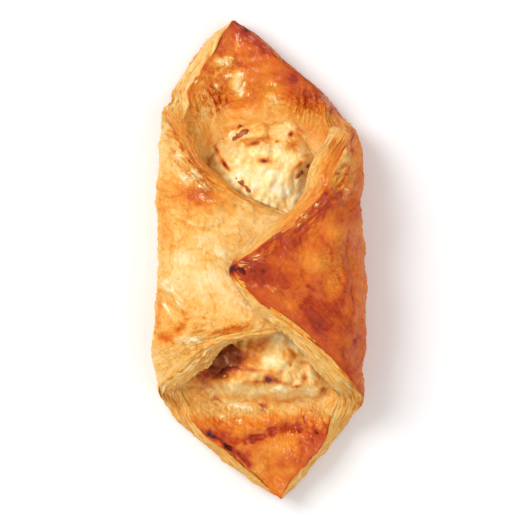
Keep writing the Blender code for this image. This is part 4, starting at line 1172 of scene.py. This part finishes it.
def ham_strip(middle, length, width, heading, curl, looks, seed):
    """A thin wavy strip in the cheese, as loops round its section, row by row along its length. Waves on its
    half width make its outline ragged. It follows the curds, tips to one side and sinks in at both ends."""
    tone, tip, uneven = looks
    centre, along, aside = ham_frame(middle, heading)
    share = np.linspace(-1, 1, 60)[:, None]
    bend = np.radians(curl) / 2
    run = np.sin(share * bend) / bend * length / 2 * MM
    lean = (1 - np.cos(share * bend)) / bend * length / 2 * MM
    v = np.linspace(-1, 1, 21)[None, :]
    ragged = 1 + 0.16 * waves(share * 5 * MM, 0, 0, 3.4 * MM, seed)
    ragged = ragged + 0.10 * waves(share * 5 * MM, 0, 0, 1.4 * MM, seed + 1)
    side = width / 2 * MM * (1 - 0.6 * np.abs(share) ** 4) * ragged * v + lean
    x = centre[0] + run * along[0] + side * aside[0]
    y = centre[1] + run * along[1] + side * aside[1]
    opening = "north" if centre[1] > 0 else "south"
    curds = np.clip(cheese_rise(x, y)[0], -3 * MM, 0.4 * MM) * HAM_FOLLOWS[opening]
    cheese_level = filling_top(x.reshape(-1, 1), y.reshape(-1)).reshape(x.shape) + curds
    wave = HAM_WAVE * (0.6 * np.sin(run / (1.7 * MM) + middle[0]) + 0.4 * v * np.cos(run / (1.3 * MM)))
    sunk = uneven * MM * waves(x, y, 0, 3.6 * MM, seed + 2) - HAM_SUNK[opening] * MM
    sunk = sunk - 0.7 * MM * smooth(0.55, 1, np.abs(share)) + tip * MM * v
    thick = HAM_BODY * (1 - np.abs(v) ** 6) * (1 - 0.85 * np.abs(share) ** 8)
    relief = 0.12 * MM * waves(x, y, 0, 1.2 * MM, seed + 3)
    under = cheese_level + wave + sunk - HAM_BURIED
    over = under + thick + relief * (1 - np.abs(v) ** 4) + 0.06 * MM
    rim = np.maximum(np.abs(v), np.abs(share)) + 0.16 * waves(x, y, 0, 2.4 * MM, seed + 4)
    bake = HAM_BAKED + tone + 0.22 * smooth(0.7, 1.05, rim) + 0.10 * waves(x, y, 0, 4 * MM, seed + 5)
    faces = [np.stack([x, y, under], axis=-1), np.stack([x, y, over], axis=-1)[:, ::-1]]
    return stand(np.concatenate(faces, axis=1)), {"bake": np.concatenate([bake, bake[:, ::-1]], axis=1)}


def crumbs(count, seed):
    """Small crumbs on the cheese and in the corners: closed balls of few faces, squashed and dented by
    waves."""
    random = np.random.default_rng(seed)
    stacks, values = [], []
    lat = np.linspace(0.12, np.pi - 0.12, 6)[:, None]
    lon = np.linspace(0, 2 * np.pi, 8, endpoint=False)[None, :]
    ball = np.stack([np.sin(lat) * np.cos(lon), np.sin(lat) * np.sin(lon), np.cos(lat) + 0 * lon], axis=-1)
    for _ in range(count):
        x0, y0 = random.uniform(-15, 15) * MM, random.choice([-1, 1]) * random.uniform(32, 60) * MM
        size = random.uniform(0.25, 0.6) * MM
        squash = random.uniform(0.6, 1.3, size=3)
        ground = floor_height(np.array([[x0]]), np.array([y0]))[0, 0]
        if -44 * MM < y0 < 42 * MM:
            ground = filling_top(np.array([[x0]]), np.array([y0]))[0, 0]
        dent = 1 + 0.25 * waves(*split(ball * 2 * MM + x0), 3 * MM, seed)[..., None]
        stacks.append(stand(ball * dent * squash * size + np.array([x0, y0, ground + 0.8 * size])))
        values.append(crust_fields(0.45 + 0.1 * random.normal() + 0 * lat + 0 * lon))
    return stacks, values


# ---- Meshes -------------------------------------------------------------------------------------------
def signed_volume(rows):
    """Six times the volume inside the loops, from the triple products of the grid's triangles about its
    middle."""
    centred = rows - rows.mean(axis=(0, 1))
    a, b = centred[:-1], centred[1:]
    c, d = np.roll(b, -1, axis=1), np.roll(a, -1, axis=1)
    return (np.cross(a, b) * c).sum() + (np.cross(a, c) * d).sum()


def closed_piece(name, stacks, values, material):
    """One mesh over stacks of closed loops: quads between neighbouring loops and a fan on each end,
    turned so that the volume is positive. Values hold one number a point for each attribute."""
    vertices, faces, floats, start = [], [], {key: [] for key in values[0]}, 0
    for rows, fields in zip(stacks, values):
        count, ring = rows.shape[:2]
        row = (np.arange(count - 1) * ring)[:, None]
        at, after = np.arange(ring)[None, :], ((np.arange(ring) + 1) % ring)[None, :]
        quads = np.stack([row + at, row + ring + at, row + ring + after, row + after], axis=-1).reshape(-1, 4)
        first, last, top = count * ring, count * ring + 1, (count - 1) * ring
        ends = np.concatenate([
            np.stack([at[0], after[0], np.full(ring, first)], axis=-1),
            np.stack([top + after[0], top + at[0], np.full(ring, last)], axis=-1),
        ])
        if signed_volume(rows) < 0:
            quads, ends = quads[:, ::-1], ends[:, ::-1]
        faces += (quads + start).tolist() + (ends + start).tolist()
        vertices += [rows.reshape(-1, 3), rows[0].mean(axis=0)[None], rows[-1].mean(axis=0)[None]]
        for key, field in fields.items():
            floats[key] += [field.reshape(-1), [field[0].mean()], [field[-1].mean()]]
        start += count * ring + 2
    mesh = bpy.data.meshes.new(name)
    mesh.from_pydata(np.concatenate(vertices).tolist(), [], faces)
    for key, parts in floats.items():
        attribute = mesh.attributes.new(key, "FLOAT", "POINT")
        attribute.data.foreach_set("value", np.concatenate(parts).astype(np.float32))
    mesh.update()
    mesh.shade_smooth()
    piece = bpy.data.objects.new(name, mesh)
    bpy.context.scene.collection.objects.link(piece)
    mesh.materials.append(material)
    return piece


# ---- Materials ----------------------------------------------------------------------------------------
class Value:
    """A shader socket that takes part in sums: each operator adds a Math node."""

    def __init__(self, graph, socket):
        self.graph, self.socket = graph, socket

    def combine(self, operation, first, second):
        return self.graph.node("ShaderNodeMath", {"operation": operation}, {0: first, 1: second})

    def __add__(self, other):
        return self.combine("ADD", self, other)

    def __radd__(self, other):
        return self.combine("ADD", other, self)

    def __sub__(self, other):
        return self.combine("SUBTRACT", self, other)

    def __rsub__(self, other):
        return self.combine("SUBTRACT", other, self)

    def __mul__(self, other):
        return self.combine("MULTIPLY", self, other)

    def __rmul__(self, other):
        return self.combine("MULTIPLY", other, self)

    def __abs__(self):
        return self.graph.node("ShaderNodeMath", {"operation": "ABSOLUTE"}, {0: self})


class Graph:
    """A material's node tree, filled by one method."""

    def __init__(self, name):
        self.material = bpy.data.materials.new(name)
        self.material.use_nodes = True
        self.tree = self.material.node_tree
        self.shader = self.tree.nodes["Principled BSDF"]

    def node(self, kind, settings=None, inputs=None, output=0):
        """Adds a node of that type, applies its settings and ramp stops, then its socket values or links."""
        made = self.tree.nodes.new(kind)
        for key, setting in (settings or {}).items():
            if key == "stops":
                ramp = made.color_ramp
                while len(ramp.elements) < len(setting):
                    ramp.elements.new(1)
                for element, (place, colour) in zip(ramp.elements, setting):
                    element.position, element.color = place, (*colour, 1)
            else:
                setattr(made, key, setting)
        for key, given in (inputs or {}).items():
            self.join(made.inputs[key], given)
        return Value(self, made.outputs[output])

    def join(self, socket, given):
        if isinstance(given, Value):
            self.tree.links.new(given.socket, socket)
        else:
            socket.default_value = given

    def attribute(self, name):
        return self.node("ShaderNodeAttribute", {"attribute_name": name}, output="Fac")

    def place(self):
        return self.node("ShaderNodeTexCoord", output="Object")

    def stretched_place(self, scale):
        return self.node("ShaderNodeVectorMath", {"operation": "MULTIPLY"}, {0: self.place(), 1: scale})

    def vector(self, x, y, z):
        return self.node("ShaderNodeCombineXYZ", None, {0: x, 1: y, 2: z})

    def noise(self, size, detail=3, place=None, roughness=0.55, distortion=0.0):
        """Noise from 0 to 1 whose features are about size metres across."""
        inputs = {"Vector": place or self.place(), "Scale": 1 / size, "Detail": detail,
                  "Roughness": roughness, "Distortion": distortion}
        return self.node("ShaderNodeTexNoise", None, inputs)

    def dots(self, size):
        """Distance to the nearest of scattered points about size metres apart, as a share of size."""
        inputs = {"Vector": self.place(), "Scale": 1 / size}
        return self.node("ShaderNodeTexVoronoi", {"feature": "F1"}, inputs, "Distance")

    def band(self, value, low, high):
        """0 below low, 1 above high, smooth between; also the other way round."""
        return self.node("ShaderNodeMapRange", {"interpolation_type": "SMOOTHSTEP"},
                         {"Value": value, "From Min": low, "From Max": high, "To Min": 0.0, "To Max": 1.0})

    def ramp(self, value, stops):
        return self.node("ShaderNodeValToRGB", {"stops": stops}, {"Fac": value}, "Color")

    def mix(self, share, first, second):
        return self.node("ShaderNodeMix", {"data_type": "RGBA"}, {0: share, 6: first, 7: second}, 2)

    def bump(self, height, distance, strength=1.0):
        """Normal from a height of 0 to 1 that stands for distance metres."""
        inputs = {"Height": height, "Distance": distance, "Strength": strength}
        return self.node("ShaderNodeBump", None, inputs, "Normal")

    def finish(self, **sockets):
        for name, given in sockets.items():
            self.join(self.shader.inputs[name.replace("_", " ")], given)
        return self.material


def linear(red, green, blue):
    """Linear colour from 0 to 255 screen values."""
    c = np.array([red, green, blue]) / 255
    return tuple(float(v) for v in np.where(c <= 0.04045, c / 12.92, ((c + 0.055) / 1.055) ** 2.4))


def crust_stops(colours):
    """The baking scale, from raw-pale to scorched."""
    places = (0.0, 0.18, 0.35, 0.5, 0.65, 0.8, 0.92, 1.0)
    names = ("pale", "cream", "golden", "orange", "amber", "russet", "scorched", "burnt")
    return [(place, tuple(getattr(colours, name))) for place, name in zip(places, names)]


def crust_material(colours, sizes):
    """Egg-washed crust: a baking scale read by the bake field and mottled by noise of several sizes.
    Peeled patches are paler, and folds draw dark strokes and pale gleams, painted highlights on their crests,
    along their own coordinates. The cut faces have streaked layers, the glazed places glints painted into the
    base colour as highlights, and specks are toasted. The bump has flaking, pores, folds and layers."""
    g = Graph("baked_crust")
    bake, share, cut, wet, crease, across, along = (g.attribute(name) for name in CRUST_FIELDS)
    broad = g.noise(9 * MM, 3, distortion=0.4)
    stretched = g.vector(across, along * 0.7, share * 0.003)
    patches = g.noise(4.4 * MM, 4, stretched, 0.6, 1.2)
    fine = g.noise(1.3 * MM, 4, roughness=0.6)
    fold_place = g.vector(across, along * 0.26, share * 0.003)
    folds = g.noise(1.0 * MM, 3, fold_place, 0.55, 0.6)
    long_folds = g.noise(3.4 * MM, 3, fold_place, 0.55, 0.8)
    flat_place = g.stretched_place((0.15, 0.15, 0.15))
    depth_place = g.vector(share * 0.011, share * 0.004, share * 0.007)
    layered_place = g.node("ShaderNodeVectorMath", {"operation": "ADD"}, {0: flat_place, 1: depth_place})
    layers = g.noise(0.8 * MM, 4, layered_place, 0.65, 0.3)
    ridges = g.band(abs(patches - 0.5), 0.045, 0.0)
    strokes = g.band(abs(folds - 0.47), 0.035, 0.005)
    # Gleams are painted highlights: paler colour on the crests of the fine folds.
    gleams = g.band(folds, 0.60, 0.66)
    skin_level = bake + (broad - 0.5) * 0.34 + (patches - 0.5) * 0.17 + (fine - 0.5) * (0.04 + crease * 0.10)
    skin_level = skin_level + (long_folds - 0.5) * 0.14 + (folds - 0.5) * crease * 0.24
    skin_level = skin_level + ridges * (broad - 0.44) * 0.18
    calm = g.band(bake, 0.85, 0.55)
    peeled = g.band(patches + (broad - 0.5) * 0.5 + (fine - 0.5) * 0.16, 0.50, 0.535)
    skin_level = skin_level - (peeled - 0.5) * (0.03 + 0.09 * g.band(bake, 0.52, 0.34))
    # Painted highlights: glints that lighten the base colour where the crust is glazed.
    glint_place = g.vector(across, along * 0.45, share * 0.003)
    glints = g.band(g.noise(0.95 * MM, 2, glint_place, 0.5, 0.5), 0.55, 0.60) * g.band(wet, 0.35, 0.70)
    skin_level = skin_level - glints * 0.40
    skin_level = skin_level + (strokes * (0.06 + calm * 0.09) - gleams * 0.18) * crease
    cut_level = bake + 0.03 + (layers - 0.5) * 0.86 + (patches - 0.5) * 0.30 + (long_folds - 0.5) * 0.20
    level = skin_level + (cut_level - skin_level) * cut
    dots = g.dots(2.6 * MM)
    chosen = g.band(g.noise(5 * MM, 1), 0.60, 0.66)
    specks = g.band(dots, 0.14, 0.06) * chosen * (1 - cut) * 0.16
    colour = g.ramp(level + specks, crust_stops(colours))
    glaze = g.band(patches + (broad - 0.5) * 0.7, 0.40, 0.56)
    roughness = 0.50 - wet * glaze * 0.16 + cut * 0.18 + (fine - 0.5) * 0.15
    flaking = g.noise(1.9 * MM, 5, roughness=0.62, distortion=0.7)
    pores = g.noise(0.45 * MM, 3)
    height = flaking * 0.8 + pores * 0.18 + (folds * 0.5 - strokes * 0.3 + gleams * 0.2) * crease
    height = height + layers * cut * 0.7
    return g.finish(
        Base_Color=colour,
        Roughness=roughness,
        Coat_Weight=(0.45 + 0.55 * glaze) * wet * sizes.glaze,
        Coat_Roughness=0.14,
        Coat_IOR=1.7,
        Normal=g.bump(height, 0.75 * MM, 0.9),
        Subsurface_Weight=0.12,
        Subsurface_Radius=(0.0016, 0.0007, 0.0003),
        Subsurface_Scale=1.0,
        Specular_IOR_Level=0.12,
    )


def cheese_material(colours):
    """Moist baked cheese with small grains: cream that turns golden and brown with the browning attribute,
    which also carries painted shade in the creases and in the hollow under the west flap's lip."""
    g = Graph("baked_cheese")
    bake = g.attribute("bake")
    broad = g.noise(5 * MM, 3)
    grains = g.noise(1.6 * MM, 5, roughness=0.65, distortion=0.6)
    fine = g.noise(0.5 * MM, 3)
    curdled = g.band(grains + (broad - 0.5) * 0.5, 0.44, 0.56)
    level = bake + (broad - 0.5) * 0.40 + (grains - 0.5) * 0.14 + (curdled - 0.5) * 0.05 + (fine - 0.5) * 0.04
    stops = [(0.0, tuple(colours.curd)), (0.16, tuple(colours.cheese)), (0.32, linear(246, 202, 120)),
             (0.44, linear(239, 168, 76)), (0.60, linear(218, 128, 50)), (0.76, linear(186, 84, 38)),
             (0.90, linear(132, 50, 30)), (1.0, linear(92, 34, 24))]
    return g.finish(
        Base_Color=g.ramp(level, stops),
        Roughness=0.42 + (grains - 0.5) * 0.3,
        Normal=g.bump(grains * 0.85 + fine * 0.15, 0.35 * MM, 0.8),
        Coat_Weight=0.2,
        Coat_Roughness=0.15,
        Specular_IOR_Level=0.3,
        Subsurface_Weight=0.35,
        Subsurface_Radius=(0.003, 0.002, 0.0012),
        Subsurface_Scale=1.0,
    )


def ham_material(colours):
    """Baked ham: pink and tan fibres with paler fat, browned along the rim."""
    g = Graph("baked_ham")
    bake = g.attribute("bake")
    fibres_place = g.stretched_place((1.0, 0.35, 1.0))
    fibres = g.noise(0.8 * MM, 4, fibres_place)
    fat = g.band(g.noise(3 * MM, 2), 0.60, 0.70)
    lean = g.ramp(bake + (fibres - 0.5) * 0.5, [(0.0, linear(243, 205, 150)), (0.3, tuple(colours.ham)),
                                                (0.6, linear(172, 90, 44)), (1.0, linear(104, 40, 20))])
    return g.finish(
        Base_Color=g.mix(fat * 0.35, lean, (*linear(240, 205, 165), 1)),
        Roughness=0.44 + (fibres - 0.5) * 0.2,
        Normal=g.bump(fibres, 0.3 * MM, 0.7),
        Coat_Weight=0.06,
        Coat_Roughness=0.25,
        Specular_IOR_Level=0.15,
    )


def floor_material():
    """Matt white card with the faintest unevenness."""
    g = Graph("white_card")
    shade = g.noise(60 * MM, 2)
    colour = g.mix(shade, (0.90, 0.90, 0.90, 1), (0.93, 0.93, 0.93, 1))
    return g.finish(Base_Color=colour, Roughness=0.9, Specular_IOR_Level=0.1)


# ---- What a user would change -------------------------------------------------------------------------
class PastrySizes(bpy.types.PropertyGroup):
    leaves: bpy.props.IntProperty(
        name="Leaves",
        description="Laminated leaves that stand out of each cut face",
        default=7,
        min=1,
        max=14,
    )
    crumbs: bpy.props.IntProperty(
        name="Crumbs", description="Small crumbs by the openings", default=10, min=0, max=200
    )
    glaze: bpy.props.FloatProperty(
        name="Glaze",
        description="Strength of the egg wash's gloss",
        default=0.72,
        min=0,
        max=1,
        subtype="FACTOR",
    )
    view_width: bpy.props.FloatProperty(
        name="View width",
        description="Width of the camera's view at the pastry",
        default=0.173,
        unit="LENGTH",
    )


def colour_property(name, description, red, green, blue):
    return bpy.props.FloatVectorProperty(
        name=name,
        description=description,
        subtype="COLOR",
        size=3,
        min=0,
        max=1,
        default=linear(red, green, blue),
    )


class PastryColours(bpy.types.PropertyGroup):
    pale: colour_property("Pale", "Dough that has hardly browned", 247, 223, 174)
    cream: colour_property("Cream", "Dry inner layers", 242, 202, 134)
    golden: colour_property("Golden", "Lightly baked crust", 237, 178, 88)
    orange: colour_property("Orange", "Baked crust", 230, 138, 42)
    amber: colour_property("Amber", "Well baked crust", 210, 98, 24)
    russet: colour_property("Russet", "Dark crust", 178, 58, 16)
    scorched: colour_property("Scorched", "Scorched crust", 122, 30, 14)
    burnt: colour_property("Burnt", "Burnt edges", 62, 14, 12)
    curd: colour_property("Curd", "Fresh curds in the filling", 255, 247, 228)
    cheese: colour_property("Cheese", "Melted cheese", 252, 229, 168)
    ham: colour_property("Ham", "Baked ham", 196, 118, 82)


# The stage: the floor's half width, the lamps as (name, place, size, power), the sky's strength and the
# camera's height, in metres and watts.
FLOOR_HALF = 3
LAMPS = (("key", (-0.66, 0.40, 1.02), 0.60, 9.9), ("fill", (0.5, -0.3, 1.1), 0.9, 3.2))
SKY_STRENGTH = 0.62
CAMERA_HEIGHT = 1.2


def dressed(piece, slot, *nodes):
    """Rides the piece on the body and hides the solids that it stands for."""
    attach(piece, "root")
    if nodes:
        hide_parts(*nodes)
    return piece


class PASTRY_OT_dough(bpy.types.Operator):
    """Makes the folded dough with its crust"""

    bl_idname = "pastry.dough"
    bl_label = "Dough"

    def execute(self, context):
        scene = context.scene
        points, fields = dough()
        crust = crust_material(scene.pastry_colours, scene.pastry_sizes)
        dressed(closed_piece("pastry_crust", [points], [fields], crust), "crust", "pastry")
        return {"FINISHED"}


class PASTRY_OT_skins(bpy.types.Operator):
    """Makes the fine skins over the flaps and in the open corners"""

    bl_idname = "pastry.skins"
    bl_label = "Fine skins"

    def execute(self, context):
        for name, *sizes in FINE_SKINS:
            points, fields = fine_skin(name, *sizes)
            dressed(closed_piece(name, [points], [fields], bpy.data.materials["baked_crust"]), "crust")
        return {"FINISHED"}


class PASTRY_OT_leaves(bpy.types.Operator):
    """Makes the laminated leaves along both cut edges"""

    bl_idname = "pastry.leaves"
    bl_label = "Leaves"

    def execute(self, context):
        count = context.scene.pastry_sizes.leaves
        for name, side in (("leaves_of_the_upper_flap", 1), ("leaves_of_the_lower_flap", -1)):
            made = [leaf(side, number, count) for number in range(count)]
            stacks, fields = zip(*made)
            dressed(closed_piece(name, stacks, fields, bpy.data.materials["baked_crust"]), "crust")
        return {"FINISHED"}


class PASTRY_OT_crumbs(bpy.types.Operator):
    """Makes the crumbs on the cheese and in the open corners"""

    bl_idname = "pastry.crumbs"
    bl_label = "Crumbs"

    def execute(self, context):
        count = context.scene.pastry_sizes.crumbs
        if count:
            dressed(closed_piece("crumbs", *crumbs(count, 801), bpy.data.materials["baked_crust"]), "crust")
        return {"FINISHED"}


class PASTRY_OT_filling(bpy.types.Operator):
    """Makes the cheese and the strips of ham in it"""

    bl_idname = "pastry.filling"
    bl_label = "Cheese and ham"

    def execute(self, context):
        colours = context.scene.pastry_colours
        points, fields = cheese()
        melted = closed_piece("melted_cheese", [points], [fields], cheese_material(colours))
        dressed(melted, "cheese", "cheese_filling")
        ham = ham_material(colours)
        for number, (name, middle, length, width, heading, curl) in enumerate(HAM):
            rows, fields = ham_strip(middle, length, width, heading, curl, HAM_LOOKS[name], 900 + 10 * number)
            dressed(closed_piece(name + "_strip", [rows], [fields], ham), "ham", name)
        return {"FINISHED"}


class PASTRY_OT_stage(bpy.types.Operator):
    """Makes the floor, the light and the camera straight above"""

    bl_idname = "pastry.stage"
    bl_label = "Stage"

    def execute(self, context):
        scene = context.scene
        mesh = bpy.data.meshes.new("floor")
        corners = [(x * FLOOR_HALF, y * FLOOR_HALF, 0) for x, y in ((-1, -1), (1, -1), (1, 1), (-1, 1))]
        mesh.from_pydata(corners, [], [(0, 1, 2, 3)])
        floor = bpy.data.objects.new("floor", mesh)
        scene.collection.objects.link(floor)
        mesh.materials.append(floor_material())
        world = bpy.data.worlds.new("studio")
        scene.world = world
        world.use_nodes = True
        background = world.node_tree.nodes["Background"]
        background.inputs["Color"].default_value = (1, 1, 1, 1)
        background.inputs["Strength"].default_value = SKY_STRENGTH
        for name, place, size, power in LAMPS:
            light = bpy.data.lights.new(name, "AREA")
            light.shape = "SQUARE"
            light.size, light.energy = size, power
            lamp = bpy.data.objects.new(name, light)
            scene.collection.objects.link(lamp)
            lamp.location = place
            lamp.rotation_euler = (-Vector(place)).to_track_quat("-Z", "Y").to_euler()
        camera = bpy.data.objects.new("camera", bpy.data.cameras.new("camera"))
        scene.collection.objects.link(camera)
        camera.location = (ORIGIN_SHIFT[0], ORIGIN_SHIFT[1], CAMERA_HEIGHT + 20 * MM)
        camera.data.lens = camera.data.sensor_width * CAMERA_HEIGHT / scene.pastry_sizes.view_width
        camera.data.clip_start, camera.data.clip_end = 0.05, 20
        scene.camera = camera
        scene.view_settings.view_transform = "Standard"
        scene.view_settings.look = "None"
        return {"FINISHED"}


class PASTRY_PT_parcel(bpy.types.Panel):
    """Lists the parcel's sizes, colours and steps"""

    bl_label = "Pastry parcel"
    bl_space_type = "VIEW_3D"
    bl_region_type = "UI"
    bl_category = "Pastry"

    def draw(self, context):
        for group in (context.scene.pastry_sizes, context.scene.pastry_colours):
            column = self.layout.column()
            for key in group.__annotations__:
                column.prop(group, key)
        for operator in OPERATORS:
            self.layout.operator(operator.bl_idname)


OPERATORS = (
    PASTRY_OT_dough,
    PASTRY_OT_skins,
    PASTRY_OT_leaves,
    PASTRY_OT_crumbs,
    PASTRY_OT_filling,
    PASTRY_OT_stage,
)
CLASSES = (PastrySizes, PastryColours, *OPERATORS, PASTRY_PT_parcel)


def register():
    for item in CLASSES:
        bpy.utils.register_class(item)
    bpy.types.Scene.pastry_sizes = bpy.props.PointerProperty(type=PastrySizes)
    bpy.types.Scene.pastry_colours = bpy.props.PointerProperty(type=PastryColours)


def unregister():
    del bpy.types.Scene.pastry_colours
    del bpy.types.Scene.pastry_sizes
    for item in reversed(CLASSES):
        bpy.utils.unregister_class(item)


def main():
    """Registers the add-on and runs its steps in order."""
    register()
    bpy.ops.pastry.dough()
    bpy.ops.pastry.skins()
    bpy.ops.pastry.leaves()
    bpy.ops.pastry.crumbs()
    bpy.ops.pastry.filling()
    bpy.ops.pastry.stage()


if __name__ == "__main__":
    main()
